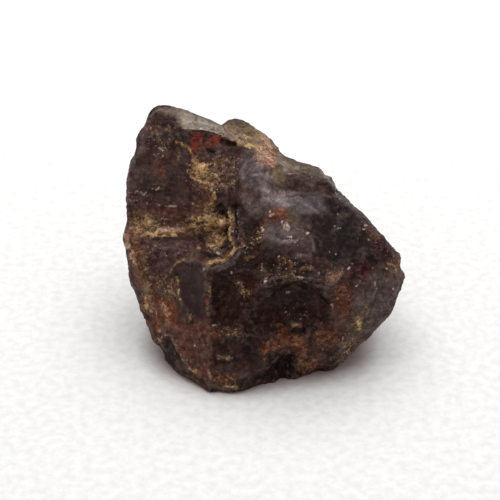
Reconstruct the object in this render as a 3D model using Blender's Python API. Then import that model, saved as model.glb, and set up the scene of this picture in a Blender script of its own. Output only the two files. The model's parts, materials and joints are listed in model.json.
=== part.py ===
"""A rough garnet crystal: one broken, dark red-brown stone about 22 mm across.

Blender 4.5: blender --background --python part.py, or run it from the text editor.
+X is the stone's right, +Y its back and +Z up. It lies on one flat break, and the origin is
the middle of its box at the height of that break. The stone is shaped in millimetres and
brought to metres in the last step.
"""

import math

import bmesh
import bpy
import numpy as np
from mathutils import Matrix, Vector, noise

# ---------------------------------------------------------------- driving dimensions, mm

GRAIN = 0.22            # voxel of the remesh that grows the blocks together
BREAK_HEIGHT = 0.0      # height of the flat break that the stone lies on
FACETS = ((3.4, 0.26), (1.6, 0.24))    # size of the small breaks all over, and how steeply they tilt
LUMP_SIZE = 4.0         # size of the slow swells between them
LUMP_HEIGHT = 0.25
UNEVEN = 0.22           # how far the hollows stray from true ellipsoids, as a share
TRIANGLES = 9000
SEED = 7                # chooses the pattern of small breaks

# ---------------------------------------------------------------- the blocks, corner by corner

# Each block is the convex body on its corners. They overlap well inside the stone.
BLOCKS = {
    "trunk": [
        # the break that it lies on
        (-3.0, -6.5, -0.9), (2.8, -4.6, -0.9), (5.2, -3.5, -0.9), (6.2, 2.0, -0.9), (3.4, 5.8, -0.9),
        (-2.4, 6.6, -0.9), (-6.0, 3.4, -0.9), (-7.4, -2.2, -0.9), (-6.4, -4.3, -0.9),
        # the lower rim
        (-2.8, -6.9, 0.3), (-4.2, -6.5, 0.3), (-1.4, -6.2, 0.4), (0.8, -5.0, 0.3), (2.9, -4.8, 0.3),
        (4.9, -4.5, 0.6), (6.5, -4.2, 1.1), (-5.7, -5.7, 0.5), (-6.9, -4.8, 0.7), (-8.5, -3.2, 0.9),
        (-9.2, -2.2, 1.5), (-9.2, -1.5, 2.6), (8.2, 1.8, 2.2), (6.2, 6.9, 2.4), (-1.6, 9.2, 2.2),
        (-7.7, 5.9, 2.4),
        # the girdle
        (-10.5, -0.8, 4.4), (-10.7, -0.6, 6.0), (-11.0, -0.2, 8.0), (-11.2, 1.2, 9.4), (10.8, 0.3, 8.1),
        (10.85, -0.4, 7.0), (10.5, -1.2, 5.9), (10.2, -2.3, 4.6), (8.8, -3.2, 3.7), (7.2, -4.0, 2.0),
        (9.9, 3.8, 6.6), (7.0, 8.4, 6.8), (-1.4, 11.2, 6.0), (-7.6, 9.4, 7.0), (-10.8, 5.2, 8.0),
        # the shelf, the slope below it and the brow
        (-11.1, 2.8, 9.9), (-9.1, 1.2, 9.6), (-6.7, 1.2, 9.6), (-5.0, 0.8, 9.5), (-7.0, -0.9, 8.0),
        (-9.1, -0.5, 7.6), (-7.1, -2.3, 5.6), (-4.5, -2.9, 9.2), (-2.2, -2.7, 9.2),
        (-0.8, -4.1, 8.2), (2.0, -4.3, 9.0), (6.1, -4.5, 8.0),
    ],
    "back": [
        (-9.7, 7.2, 15.6), (-7.4, 7.8, 17.4), (-3.2, 8.8, 14.6), (1.2, 9.0, 12.4), (5.2, 7.2, 11.3),
        (6.8, 6.0, 9.3), (9.3, 3.4, 7.5), (9.9, 4.2, 5.6), (7.4, 8.2, 7.4), (2.2, 11.0, 9.2),
        (-2.2, 11.8, 8.6), (-6.4, 10.8, 10.4), (-10.2, 8.0, 9.2), (-8.2, 8.8, 4.6), (-1.8, 10.8, 3.4),
        (6.6, 7.2, 3.0), (-9.0, 5.0, 8.0), (7.6, 2.2, 5.0), (-6.0, 4.0, 2.0), (5.0, 3.0, 2.0),
    ],
    "peak": [
        (-6.5, 5.3, 17.0), (-3.1, 6.2, 16.0), (-3.4, 7.8, 15.8), (-7.3, 7.5, 18.0), (-8.5, 7.5, 17.8),
        (-9.4, 7.3, 17.0), (-9.7, 7.1, 15.9), (-10.1, 6.0, 14.5), (-11.2, 5.0, 12.9), (-11.3, 3.6, 12.3),
        (-8.8, 9.2, 15.0), (-7.3, 9.6, 15.9), (-5.0, 9.8, 14.2), (-7.6, 10.6, 13.2),
        (-11.1, 2.6, 10.2), (-11.0, 2.3, 8.8), (-5.0, 2.1, 8.8), (-5.0, 2.3, 10.0), (-2.6, 1.6, 10.8),
        (-3.2, 1.8, 9.7), (-5.9, 4.1, 15.4), (-5.6, 2.9, 12.6),
        (-2.5, 4.6, 14.5), (-2.5, 2.0, 12.2),
        (-10.4, 8.0, 10.4), (-5.2, 9.6, 12.6), (-2.0, 8.0, 13.0),
        (-9.0, 4.0, 5.0), (-3.0, 4.0, 5.0), (-5.0, 9.0, 5.0),
    ],
    "body": [
        (-2.4, 4.5, 14.3), (-2.5, 1.7, 12.2), (-2.3, -1.4, 10.1), (-2.2, -2.3, 9.5),
        (-2.6, 6.4, 15.6), (-0.7, 5.2, 15.0), (0.7, 4.9, 14.5),
        (0.2, 2.4, 13.0), (4.7, 3.1, 12.6), (2.7, 0.4, 12.0),
        (-0.3, -2.5, 9.9), (1.9, -2.3, 10.9), (4.2, -2.9, 9.9),
        (2.0, -4.4, 9.0), (-0.8, -4.1, 8.3), (6.1, -4.5, 8.1),
        (9.5, 1.2, 8.6), (10.7, 0.2, 8.0), (6.1, 3.3, 11.7),
        (-3.0, 9.0, 12.0), (5.0, 7.4, 11.0), (9.4, 3.6, 7.5),
        (-2.0, -2.0, 5.0), (6.0, -2.0, 5.0), (8.0, 3.0, 5.0), (-2.0, 9.0, 6.0), (5.0, 7.4, 6.0),
    ],
    "shoulder": [
        (2.0, 6.5, 13.3), (3.6, 5.9, 13.0), (5.4, 5.5, 12.6), (5.8, 3.9, 12.3), (1.3, 3.4, 13.6),
        (5.0, 4.0, 13.0), (0.5, 2.7, 12.9), (5.5, 3.6, 12.2), (5.5, 7.2, 11.3), (1.0, 8.7, 12.2),
        (2.0, 5.0, 8.0), (5.0, 5.0, 8.0),
    ],
    "hump": [
        (-2.5, 10.3, 14.9), (-1.6, 10.4, 14.8), (-3.4, 9.0, 15.1), (0.0, 9.9, 13.7), (0.9, 8.8, 12.9),
        (-0.8, 6.5, 14.3), (0.9, 6.4, 13.8), (-4.4, 10.4, 13.4), (-2.4, 11.4, 13.0), (0.2, 11.0, 11.4),
        (-1.8, 11.6, 11.8), (1.5, 10.8, 10.4), (-4.6, 10.4, 12.0), (-2.0, 11.7, 9.4), (-1.0, 7.0, 8.0),
    ],
}

# Hollows: shell-shaped breaks and pits, each with its middle, its radii and its turns about
# X, Y and Z in degrees.
HOLLOWS = {
    "pit": ((-3.35, 1.3, 11.1), (0.5, 0.95, 0.65), (0, 0, 0)),
    "under the brow": ((2.4, -7.3, 7.3), (4.9, 3.45, 3.6), (0, 0, 0)),
    "black hollow": ((1.5, -6.2, 1.1), (1.1, 1.5, 1.9), (0, 0, 0)),
    "hollow's side": ((0.7, -6.6, 0.9), (0.8, 1.25, 1.1), (0, 0, 20)),
    "heel notch": ((-8.1, -4.0, 0.7), (0.9, 1.5, 1.3), (0, 0, 20)),
    "scarp": ((3.2, 1.6, 14.0), (3.4, 2.2, 1.1), (-10, 0, 0)),
    "back shell": ((6.4, 11.6, 5.4), (5.2, 4.0, 4.4), (10, 0, -30)),
    "back step": ((-7.4, 12.2, 13.2), (4.0, 2.6, 2.4), (-20, 10, 15)),
    "side dent": ((12.6, 3.2, 4.0), (3.0, 2.6, 2.8), (0, 0, 0)),
    "left dent": ((-12.6, 4.6, 6.0), (2.4, 3.2, 3.0), (0, 15, 0)),
}

# Strokes: a ridge (raised) or a groove (sunk) along a path, with its half width and height.
STROKES = {
    "front ridge": (0.8, 0.30, [(-4.5, -2.9, 9.2), (-4.4, -3.9, 5.9), (-4.3, -5.0, 2.9), (-4.2, -6.2, 0.4)]),
    "front dish": (1.7, -0.55, [(-2.9, -3.9, 7.8), (-2.9, -4.1, 6.0)]),
    "front knurl": (0.6, 0.25, [(-2.0, -3.8, 8.3), (-2.0, -3.8, 6.3), (-1.9, -4.1, 4.5)]),
    "left ridge": (0.7, 0.28, [(-6.9, -1.2, 8.3), (-6.9, -2.5, 6.9), (-6.4, -3.3, 5.9), (-5.9, -3.9, 4.9)]),
    "left bite": (0.6, -0.30, [(-9.7, -1.6, 3.7), (-8.6, -2.6, 3.4), (-7.6, -3.4, 3.0)]),
    "lip": (0.7, 0.40, [(-4.6, -1.9, 9.0), (-3.2, -2.9, 9.5), (-2.4, -2.2, 9.9), (-2.4, -1.0, 10.6)]),
    "crack": (0.7, -0.40, [(-2.3, 3.0, 12.9), (-2.6, 1.4, 11.6), (-2.7, -0.4, 10.4)]),
    "column": (1.9, 0.70, [(-1.0, 4.0, 14.3), (-0.8, 2.4, 13.2), (-0.9, 1.2, 12.2)]),
    "scarp foot": (0.7, -0.25, [(0.5, 2.2, 13.3), (2.5, 2.6, 12.9), (5.0, 3.4, 12.5)]),
    "forehead": (2.2, 0.35, [(0.4, -1.6, 10.6), (3.0, -1.6, 10.6)]),
    "brow edge": (0.6, 0.28, [(-0.8, -4.0, 8.1), (1.0, -4.2, 9.1), (3.4, -4.1, 9.1), (6.2, -4.4, 8.0)]),
    "brow recess": (1.9, -0.10, [(0.6, -4.3, 7.1), (2.5, -4.4, 7.3), (4.6, -4.4, 6.9)]),
    "vein left": (0.6, 0.35, [(-0.2, -5.2, 3.3), (-0.1, -5.2, 4.2), (0.9, -5.2, 4.7)]),
    "vein right": (0.6, 0.35, [(1.9, -5.1, 4.6), (2.8, -5.4, 4.0), (3.0, -5.2, 2.4)]),
    "knuckle": (1.4, 0.45, [(4.6, -4.3, 3.4), (5.8, -4.2, 3.2)]),
}


def garnet():
    """The stone's own finish: dark, glassy and red-brown."""
    made = bpy.data.materials.new("garnet")
    made.use_nodes = True
    finish = made.node_tree.nodes["Principled BSDF"]
    finish.inputs["Base Color"].default_value = (0.050, 0.022, 0.018, 1.0)
    finish.inputs["Roughness"].default_value = 0.4
    finish.inputs["Metallic"].default_value = 0.0
    return made


def add_object(name, shape):
    """Turns a bmesh into an object in the scene."""
    mesh = bpy.data.meshes.new(name)
    shape.to_mesh(mesh)
    shape.free()
    made = bpy.data.objects.new(name, mesh)
    bpy.context.scene.collection.objects.link(made)
    return made


def block(name, corners):
    """The convex body on a block's corners."""
    shape = bmesh.new()
    for corner in corners:
        shape.verts.new(corner)
    hull = bmesh.ops.convex_hull(shape, input=shape.verts)
    bmesh.ops.delete(shape, geom=hull["geom_interior"], context="VERTS")
    bmesh.ops.recalc_face_normals(shape, faces=shape.faces)
    return add_object(name, shape)


def egg(name, middle, radii, turns):
    """An ellipsoid, for a swell or as the cutter of a hollow."""
    shape = bmesh.new()
    bmesh.ops.create_icosphere(shape, subdivisions=4, radius=1.0)
    for vertex in shape.verts:
        vertex.co *= 1.0 + UNEVEN * noise.noise(vertex.co * 1.7 + Vector(middle))
    x, y, z = (math.radians(turn) for turn in turns)
    turned = Matrix.Rotation(z, 4, "Z") @ Matrix.Rotation(y, 4, "Y") @ Matrix.Rotation(x, 4, "X")
    placed = Matrix.Translation(middle) @ turned @ Matrix.Diagonal((*radii, 1.0))
    bmesh.ops.transform(shape, matrix=placed, verts=shape.verts)
    return add_object(name, shape)


def settle(made):
    """Applies an object's modifiers, and leaves it with the finished mesh."""
    graph = bpy.context.evaluated_depsgraph_get()
    finished = bpy.data.meshes.new_from_object(made.evaluated_get(graph))
    made.modifiers.clear()
    made.data = finished


def combine(stone, other, operation):
    """Joins a block to the stone, or cuts a hollow from it, and removes the tool."""
    step = stone.modifiers.new(other.name, "BOOLEAN")
    step.operation = operation
    step.object = other
    settle(stone)
    bpy.data.objects.remove(other)


def distance_to_path(places, path):
    """How far each place is from a path of straight pieces."""
    nearest = np.full(len(places), 1e9)
    for start, end in zip(path, path[1:]):
        start, end = np.array(start), np.array(end)
        along = end - start
        share = np.clip((places - start) @ along / (along @ along), 0.0, 1.0)
        gap = np.linalg.norm(places - (start + share[:, None] * along), axis=1)
        nearest = np.minimum(nearest, gap)
    return nearest


def small_breaks(place, size, tilt):
    """The height at a place of a surface broken into little tilted planes of about this size."""
    gaps, centres = noise.voronoi(place / size)
    total = 0.0
    height = 0.0
    for gap, centre in zip(gaps, centres):
        lean = noise.noise_vector(centre * 9.7) * tilt
        share = math.exp(-16.0 * (gap - gaps[0]))
        height += share * lean.dot(place / size - centre)
        total += share
    return height / total * size


def main():
    noise.seed_set(SEED)
    for old in list(bpy.data.objects):
        bpy.data.objects.remove(old)

    stone = None
    for name, corners in BLOCKS.items():
        made = block(name, corners)
        if stone is None:
            stone = made
        else:
            combine(stone, made, "UNION")
    for name, egg_shape in HOLLOWS.items():
        combine(stone, egg(name, *egg_shape), "DIFFERENCE")

    grown = stone.modifiers.new("grow together", "REMESH")
    grown.mode = "VOXEL"
    grown.voxel_size = GRAIN
    soft = stone.modifiers.new("wear", "SMOOTH")
    soft.iterations = 1
    soft.factor = 0.5
    settle(stone)

    count = len(stone.data.vertices)
    places = np.empty(count * 3)
    stone.data.vertices.foreach_get("co", places)
    places = places.reshape(-1, 3)
    outward = np.empty(count * 3)
    stone.data.vertices.foreach_get("normal", outward)
    outward = outward.reshape(-1, 3)
    raised = np.zeros(count)
    for half_width, height, path in STROKES.values():
        near = np.clip(1.0 - distance_to_path(places, path) / half_width, 0.0, 1.0)
        raised += height * near * near * (3.0 - 2.0 * near)
    for index, place in enumerate(places):
        place = Vector(place)
        for size, tilt in FACETS:
            raised[index] += small_breaks(place, size, tilt)
        raised[index] += noise.noise(place / LUMP_SIZE) * LUMP_HEIGHT
    places += outward * raised[:, None]
    stone.data.vertices.foreach_set("co", places.ravel())
    stone.data.update()

    fewer = stone.modifiers.new("fewer faces", "DECIMATE")
    fewer.ratio = TRIANGLES / (2 * len(stone.data.polygons))
    settle(stone)

    shape = bmesh.new()
    shape.from_mesh(stone.data)
    everything = [*shape.verts, *shape.edges, *shape.faces]
    cut = bmesh.ops.bisect_plane(
        shape, geom=everything, plane_co=(0, 0, BREAK_HEIGHT), plane_no=(0, 0, -1), clear_outer=True
    )
    rim = [edge for edge in cut["geom_cut"] if isinstance(edge, bmesh.types.BMEdge)]
    bmesh.ops.edgeloop_fill(shape, edges=rim)
    bmesh.ops.recalc_face_normals(shape, faces=shape.faces)
    low = Vector([min(v.co[i] for v in shape.verts) for i in range(3)])
    high = Vector([max(v.co[i] for v in shape.verts) for i in range(3)])
    middle = (low + high) / 2
    print("BBOX", low, high)
    bmesh.ops.translate(shape, verts=shape.verts, vec=(-middle.x, -middle.y, -low.z))
    bmesh.ops.scale(shape, verts=shape.verts, vec=(0.001,) * 3)
    shape.to_mesh(stone.data)
    shape.free()
    stone.name = "garnet_crystal"
    stone.data.materials.clear()
    stone.data.materials.append(garnet())
    stone.data.shade_smooth()
    print("TRIS", sum(len(p.vertices) - 2 for p in stone.data.polygons))


main()
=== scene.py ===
# %% [markdown]
# # A rough garnet crystal
# The object is one broken stone, 22 mm wide: dark, glassy, red where light gets through a thin
# edge, with a golden brown crust in its steps and pits. It could be sculpted by hand, but its
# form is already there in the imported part. So this script grows a fine skin on that form, carves
# and breaks the skin, paints the mineral patches on it, and lights it on a pale cloth.

import json
import math

import bmesh
import bpy
import numpy as np
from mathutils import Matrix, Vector, noise
from mathutils.bvhtree import BVHTree

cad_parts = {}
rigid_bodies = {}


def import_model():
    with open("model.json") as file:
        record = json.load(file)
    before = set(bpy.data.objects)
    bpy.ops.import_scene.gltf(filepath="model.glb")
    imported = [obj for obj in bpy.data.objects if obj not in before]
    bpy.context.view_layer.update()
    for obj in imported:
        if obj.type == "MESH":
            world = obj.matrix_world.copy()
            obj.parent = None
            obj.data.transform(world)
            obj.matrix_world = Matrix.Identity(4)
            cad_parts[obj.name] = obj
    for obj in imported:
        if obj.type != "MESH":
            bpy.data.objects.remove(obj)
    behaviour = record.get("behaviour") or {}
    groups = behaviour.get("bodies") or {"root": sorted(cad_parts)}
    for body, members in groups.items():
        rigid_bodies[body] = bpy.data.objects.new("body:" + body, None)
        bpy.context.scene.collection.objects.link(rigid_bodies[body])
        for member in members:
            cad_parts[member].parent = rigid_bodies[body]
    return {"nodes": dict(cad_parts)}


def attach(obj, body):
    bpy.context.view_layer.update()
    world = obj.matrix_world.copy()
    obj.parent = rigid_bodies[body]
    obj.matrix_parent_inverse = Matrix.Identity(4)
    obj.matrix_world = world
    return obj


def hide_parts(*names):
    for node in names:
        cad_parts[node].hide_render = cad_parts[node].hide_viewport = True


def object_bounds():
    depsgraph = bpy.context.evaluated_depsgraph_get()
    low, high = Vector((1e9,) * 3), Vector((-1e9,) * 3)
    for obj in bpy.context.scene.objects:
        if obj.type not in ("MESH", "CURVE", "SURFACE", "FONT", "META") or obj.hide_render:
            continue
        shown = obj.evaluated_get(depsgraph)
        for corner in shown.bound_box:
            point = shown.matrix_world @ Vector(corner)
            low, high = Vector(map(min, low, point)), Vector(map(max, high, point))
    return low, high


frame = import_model()
solid_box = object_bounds()
MM = 0.001
noise.seed_set(5)
print("solid box, mm:", [[round(c / MM, 2) for c in corner] for corner in solid_box])

# %% [markdown]
# ## The camera
# It stands in front of the stone and looks down on it at 35 degrees. It comes first because the
# marks below are placed as an engraver or a painter places them: by where they show in a
# 500 by 500 view, counted in steps from the top left. Each mark then stays on the stone.

# %% The camera
VIEW = 500
TARGET = Vector((-1.085, -2.424, 9.0))     # mm; the middle of the view
DISTANCE = 130.0                           # mm
ELEVATION = math.radians(35)
STEP = 0.079                               # mm on the stone for one step of the view
SENSOR = 36                                # mm

ahead = Vector((0, math.cos(ELEVATION), -math.sin(ELEVATION)))
above = Vector((0, math.sin(ELEVATION), math.cos(ELEVATION)))
eye = TARGET - ahead * DISTANCE
camera_data = bpy.data.cameras.new("camera")
camera_data.sensor_width = SENSOR
camera_data.lens = SENSOR * DISTANCE / (VIEW * STEP)
camera_data.clip_start, camera_data.clip_end = 0.01, 10
camera = bpy.data.objects.new("camera", camera_data)
bpy.context.scene.collection.objects.link(camera)
camera.location = eye * MM
camera.rotation_euler = (-ahead).to_track_quat("Z", "Y").to_euler()
bpy.context.scene.camera = camera
print("lens:", round(camera_data.lens, 1), "mm")

# %% [markdown]
# ## A fine skin
# The solid has a few thousand flat faces. A copy of it is remeshed into a fine, even skin that
# can carry chips a tenth of a millimetre deep. Subdividing would keep the uneven faces of the
# solid, and a remesh makes them all alike. It is worked in millimetres, because a voxel remesh
# keeps to sizes that suit larger things.

# %% The skin
SKIN_GRAIN = 0.135                         # mm; the side of a voxel
MERGE = 1e-6                               # m; corners as close as this are one corner

node = frame["nodes"]["garnet_crystal"]
shape = bmesh.new()
shape.from_mesh(node.data)
bmesh.ops.remove_doubles(shape, verts=shape.verts, dist=MERGE)
bmesh.ops.scale(shape, verts=shape.verts, vec=(1 / MM,) * 3)
skin_mesh = bpy.data.meshes.new("garnet_skin")
shape.to_mesh(skin_mesh)
shape.free()
stone = bpy.data.objects.new("garnet_stone", skin_mesh)
bpy.context.scene.collection.objects.link(stone)
finer = stone.modifiers.new("fine skin", "REMESH")
finer.mode = "VOXEL"
finer.voxel_size = SKIN_GRAIN
even = stone.modifiers.new("even", "SMOOTH")
even.iterations = 2
graph = bpy.context.evaluated_depsgraph_get()
finished = bpy.data.meshes.new_from_object(stone.evaluated_get(graph))
stone.modifiers.clear()
stone.data = finished


def read(name):
    """One three-part property of every point of the skin, as rows."""
    values = np.empty(len(stone.data.vertices) * 3)
    stone.data.vertices.foreach_get(name, values)
    return values.reshape(-1, 3)


def lift(heights):
    """Moves every point of the skin outwards by its height in mm."""
    moved = read("co") + read("normal") * heights[:, None]
    stone.data.vertices.foreach_set("co", moved.ravel())
    stone.data.update()


print("skin faces:", len(stone.data.polygons))

# %% [markdown]
# ## Marks on what the camera sees
# A mark is an area inside a closed path, or a stroke of some width along an open one. It takes
# hold only on points that face the camera with nothing in front of them, so a mark on a ledge
# doesn't also land on the wall behind it. A ray from each point towards the camera tells.

# %% The points in view
GLANCING = 0.03                            # a point that faces the camera less takes no mark
CLEAR = 0.2                                # mm; the ray starts this far off the skin
FULL_HOLD = 12                             # how soon a mark reaches its full strength

places = read("co")
normals = read("normal")
offset = places - np.array(eye)
scale = DISTANCE / STEP / (offset @ np.array(ahead))
spots = np.column_stack([VIEW / 2 + offset[:, 0] * scale, VIEW / 2 - offset @ np.array(above) * scale])
facing = -(offset * normals).sum(axis=1) / np.linalg.norm(offset, axis=1)
tree = BVHTree.FromPolygons(places.tolist(), [tuple(face.vertices) for face in stone.data.polygons])
seen = np.zeros(len(places))
for index in np.flatnonzero(facing > GLANCING):
    place = Vector(places[index])
    way = (eye - place).normalized()
    if tree.ray_cast(place + way * CLEAR, way)[0] is None:
        seen[index] = min(1.0, facing[index] * FULL_HOLD)
print("seen points:", int((seen > 0).sum()), "of", len(seen))


# %% Strokes and areas
def path_distance(path, closed=False):
    """How far each point shows from a path, in steps of the view."""
    ends = path[1:] + path[:1] if closed else path[1:]
    nearest = np.full(len(spots), 1e9)
    for start, end in zip(path, ends):
        start, along = np.array(start, float), np.subtract(end, start).astype(float)
        share = np.clip((spots - start) @ along / max(along @ along, 1e-9), 0, 1)
        nearest = np.minimum(nearest, np.linalg.norm(spots - start - share[:, None] * along, axis=1))
    return nearest


def area(path, soft):
    """1 inside a closed path and 0 outside it; soft is the width of the edge between."""
    within = np.zeros(len(spots), bool)
    x, y = spots.T
    for (x0, y0), (x1, y1) in zip(path, path[1:] + path[:1]):
        if y0 != y1:
            within ^= ((y0 > y) != (y1 > y)) & (x < (x1 - x0) * (y - y0) / (y1 - y0) + x0)
    depth = path_distance(path, True) * np.where(within, 1, -1)
    return np.clip(0.5 + depth / soft, 0, 1) * seen


def stroke(path, width, reach=1.5):
    """1 along an open path, falling away to 0 at so many half widths from it."""
    path = path if len(path) > 1 else path * 2
    return np.clip(reach - path_distance(path) / (width / 2), 0, 1) * seen


def paint(marks, soft):
    """The strongest of a list of marks, each (strength, width, path), with width 0 for an area."""
    cover = np.zeros(len(places))
    for strength, width, path in marks:
        cover = np.maximum(cover, strength * (stroke(path, width) if width else area(path, soft)))
    return cover


def ripples(size, octaves=3, shift=0.0):
    """Soft noise over the stone; size in mm, or one for each direction. A shift gives new noise."""
    spaced = places / np.broadcast_to(size, 3) + np.array((shift, 0, 0))
    return np.array([noise.fractal(place, 0.6, 2.0, octaves) for place in spaced])


# %% [markdown]
# ## Carving
# On the real stone the larger breaks left lips, ribs, steps and pits a tenth of a millimetre
# high. Noise alone would put them anywhere, so each is cut with a stroke of its own height,
# and a little noise makes its edges ragged.

# %% Carving
CARVING_REACH = 1.6                        # half widths
RAGGED_SHARE, RAGGED_SIZE = 0.9, 0.4       # how much the height varies, and over how many mm

CARVING = [
    # height, width, path
    (-0.09, 3, [(244, 178), (247, 168), (255, 162), (265, 163)]),      # ribs of the glassy column
    (0.06, 3, [(249, 180), (252, 171), (259, 167), (268, 169)]),
    (-0.07, 3, [(254, 182), (257, 176), (263, 172), (270, 176)]),
    (0.08, 4, [(266, 176), (267, 190), (266, 204)]),
    (-0.14, 4, [(235, 207), (236, 222), (236, 238), (238, 248)]),      # wall of the pocket
    (0.12, 4, [(208, 262), (218, 259), (228, 255), (235, 249)]),       # its lip, in three bands
    (-0.06, 3, [(212, 266), (222, 263), (232, 258), (238, 250)]),
    (0.12, 4, [(213, 270), (224, 268), (235, 262), (241, 253)]),
    (-0.15, 7, [(204, 249), (213, 254), (222, 254)]),
    (0.08, 5, [(144, 229), (158, 229), (172, 228), (188, 227)]),       # brink of the ledge
    (-0.10, 6, [(150, 238), (165, 238), (180, 237)]),
    (0.06, 3, [(170, 272), (176, 263), (184, 259)]),                   # edge of the flat grey face
    (0.06, 3, [(190, 257), (194, 251), (200, 246)]),
    (0.05, 3, [(210, 280), (210, 300), (209, 320), (210, 345), (211, 368)]),   # the long front edge
    (-0.14, 8, [(167, 338), (170, 348), (176, 357)]),                  # the heel's notch
    (0.10, 5, [(158, 340), (163, 334), (170, 334), (178, 346), (183, 358)]),
    (0.06, 4, [(256, 286), (272, 280), (290, 278), (312, 280), (330, 284), (344, 292)]),   # the arch
    # the vein
    (0.08, 7, [(262, 354), (265, 346), (274, 342), (283, 338), (292, 342), (300, 343), (303, 354)]),
    (0.12, 22, [(279, 352), (285, 364)]),                              # a shallower hollow
    (0.16, 14, [(321, 337), (330, 336)]),                              # the red boss
    (-0.10, 4, [(313, 328), (312, 338), (316, 349), (330, 353)]),
    (0.12, 3, [(213, 326), (220, 324), (226, 328)]),                   # small chips
    (-0.05, 6, [(214, 331), (218, 335)]),
    (0.12, 4, [(219, 357), (231, 358)]),
    (0.08, 6, [(286, 224), (288, 229)]),
    (0.08, 5, [(330, 280), (338, 277)]),
    (0.12, 6, [(292, 323), (300, 325)]),
    (-0.10, 4, [(290, 332), (302, 331)]),
    (-0.06, 4, [(262, 222), (272, 220)]),                              # step under the grey sheen
    (0.06, 5, [(268, 214), (288, 213)]),
    (0.06, 4, [(277, 164), (281, 172), (284, 180)]),
    (-0.08, 6, [(224, 142), (233, 144)]),
    (-0.12, 8, [(214, 207), (224, 212)]),
    (0.10, 6, [(193, 168), (204, 168)]),
    # crust that fills the pocket's corner
    (0.16, 9, [(222, 225), (228, 229), (229, 238)]),
    (0.10, 3, [(268, 188), (268, 200)]),
    (0.06, 3, [(297, 196), (306, 203), (316, 211)]),
    (-0.06, 2.5, [(281, 239), (296, 238)]),
    (0.06, 3, [(312, 236), (314, 250)]),
]
carved = np.zeros(len(places))
for height, width, path in CARVING:
    mark = stroke(path, width, CARVING_REACH)
    carved += height * mark * mark * (3 - 2 * mark)
carved *= 1 + RAGGED_SHARE * ripples(RAGGED_SIZE)
lift(carved)
print("carved, mm:", carved.min().round(2), "to", carved.max().round(2))

# %% [markdown]
# ## Small breaks
# A broken crystal is covered with little tilted planes where flakes came off. Each point leans
# with the nearest few cells of a Voronoi pattern, which gives flat chips with crisp borders.
# The glassy faces broke clean, the crust is crumbly, and some faces are scored with fine lines.

# %% Where it broke clean, and where it is scored
GLASSY = [
    # glassy column
    (1.0, 0, [(241, 152), (256, 156), (272, 168), (276, 180), (266, 205), (250, 213), (240, 200)]),
    # sheen, and the forehead's dark right side
    (1.0, 0, [(268, 190), (322, 191), (334, 204), (360, 225), (372, 250), (340, 258), (320, 245),
        (312, 222), (276, 206)]),
    (0.9, 0, [(180, 264), (203, 262), (208, 318), (192, 313), (180, 285)]),  # flat grey face
    (0.5, 0, [(258, 286), (300, 282), (335, 290), (322, 303), (265, 302)]),  # arch
    (0.6, 0, [(184, 112), (224, 129), (205, 128), (184, 123)]),  # cap
    (0.6, 0, [(265, 224), (300, 224), (315, 245), (300, 255), (268, 255)]),  # forehead
]
LEVEL_LINES = [
    (1.0, 0, [(126, 180), (150, 170), (190, 176), (205, 200), (195, 226), (128, 214)]),  # upper left face
    (0.8, 0, [(136, 242), (196, 240), (172, 262), (166, 290), (140, 275)]),  # ledge
    (0.6, 0, [(282, 172), (330, 178), (334, 189), (284, 189)]),  # shoulder and sheen
    (0.7, 0, [(216, 325), (244, 325), (240, 338), (216, 338)]),  # front, left of the arch
]
UPRIGHT_LINES = [
    (1.0, 0, [(174, 318), (208, 318), (210, 374), (198, 376), (184, 350)]),  # flat grey face
    (0.5, 0, [(150, 296), (172, 300), (176, 330), (156, 336)]),  # lower left face and heel
    (0.6, 0, [(236, 206), (262, 206), (256, 244), (238, 244)]),  # pocket
]
places = read("co")
glassy = paint(GLASSY, 12)
level_lines, upright_lines = paint(LEVEL_LINES, 16), paint(UPRIGHT_LINES, 12)
hidden = 1 - np.minimum(seen * 2, 1)
# on the sides that take no marks, slow noise chooses the glassy places
glassy = np.maximum(glassy, hidden * np.clip(ripples(4.0, 2) * 2.5 + 0.25, 0, 0.9))
print("glassy points:", int((glassy > 0.5).sum()))

# %% Small breaks
LARGE_FLAKES = {"size": 0.95, "tilt": 0.20}        # mm, and the slope of their planes
SMALL_FLAKES = {"size": 0.42, "tilt": 0.30}
CRISP = 22.0                               # how sharply one plane gives way to the next
UNLIKE = 9.7                               # keeps planes side by side from leaning alike
CLEAN = 0.75                               # the share of the relief that glassy faces lack
GRAIN_SIZE, GRAIN_HEIGHT = 0.26, 0.020     # mm
SCORE_HEIGHT = 0.025                       # mm
LEVEL_SIZE, UPRIGHT_SIZE = (1.6, 1.6, 0.2), (0.22, 0.22, 2.0)      # mm in x, y and z


def small_breaks(size, tilt):
    """Heights of a surface broken into little tilted planes of about this size, in mm."""
    heights = np.empty(len(places))
    for index, place in enumerate(places):
        place = Vector(place) / size
        gaps, centres = noise.voronoi(place)
        total = height = 0.0
        for gap, centre in zip(gaps[:3], centres):
            share = math.exp(-CRISP * (gap - gaps[0]))
            height += share * (noise.noise_vector(centre * UNLIKE) * tilt).dot(place - centre)
            total += share
        heights[index] = height / total * size
    return heights


relief = small_breaks(**LARGE_FLAKES) + small_breaks(**SMALL_FLAKES) + GRAIN_HEIGHT * ripples(GRAIN_SIZE)
relief *= 1 - CLEAN * glassy
relief += SCORE_HEIGHT * level_lines * ripples(LEVEL_SIZE, 2)
relief += SCORE_HEIGHT * upright_lines * ripples(UPRIGHT_SIZE, 2)
print("relief, mm:", relief.min().round(3), "to", relief.max().round(3))

# %% [markdown]
# ## Mineral patches
# A crystal like this is not one colour: bare stone, stains, crust and worn places lie side by
# side. An image wrapped round the stone could hold all this, but it needs a map of the whole
# skin and blurs up close. Here each kind of patch is a number from 0 to 1 on every point of the
# skin, painted with areas and strokes, and the material breaks its edges up. A mark is
# (strength, width, path), with width 0 for an area. The comments say which place on the stone
# the marks from there on are on, from the cap at the top left to the foot.

# %% A patch
patches = {}


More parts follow.
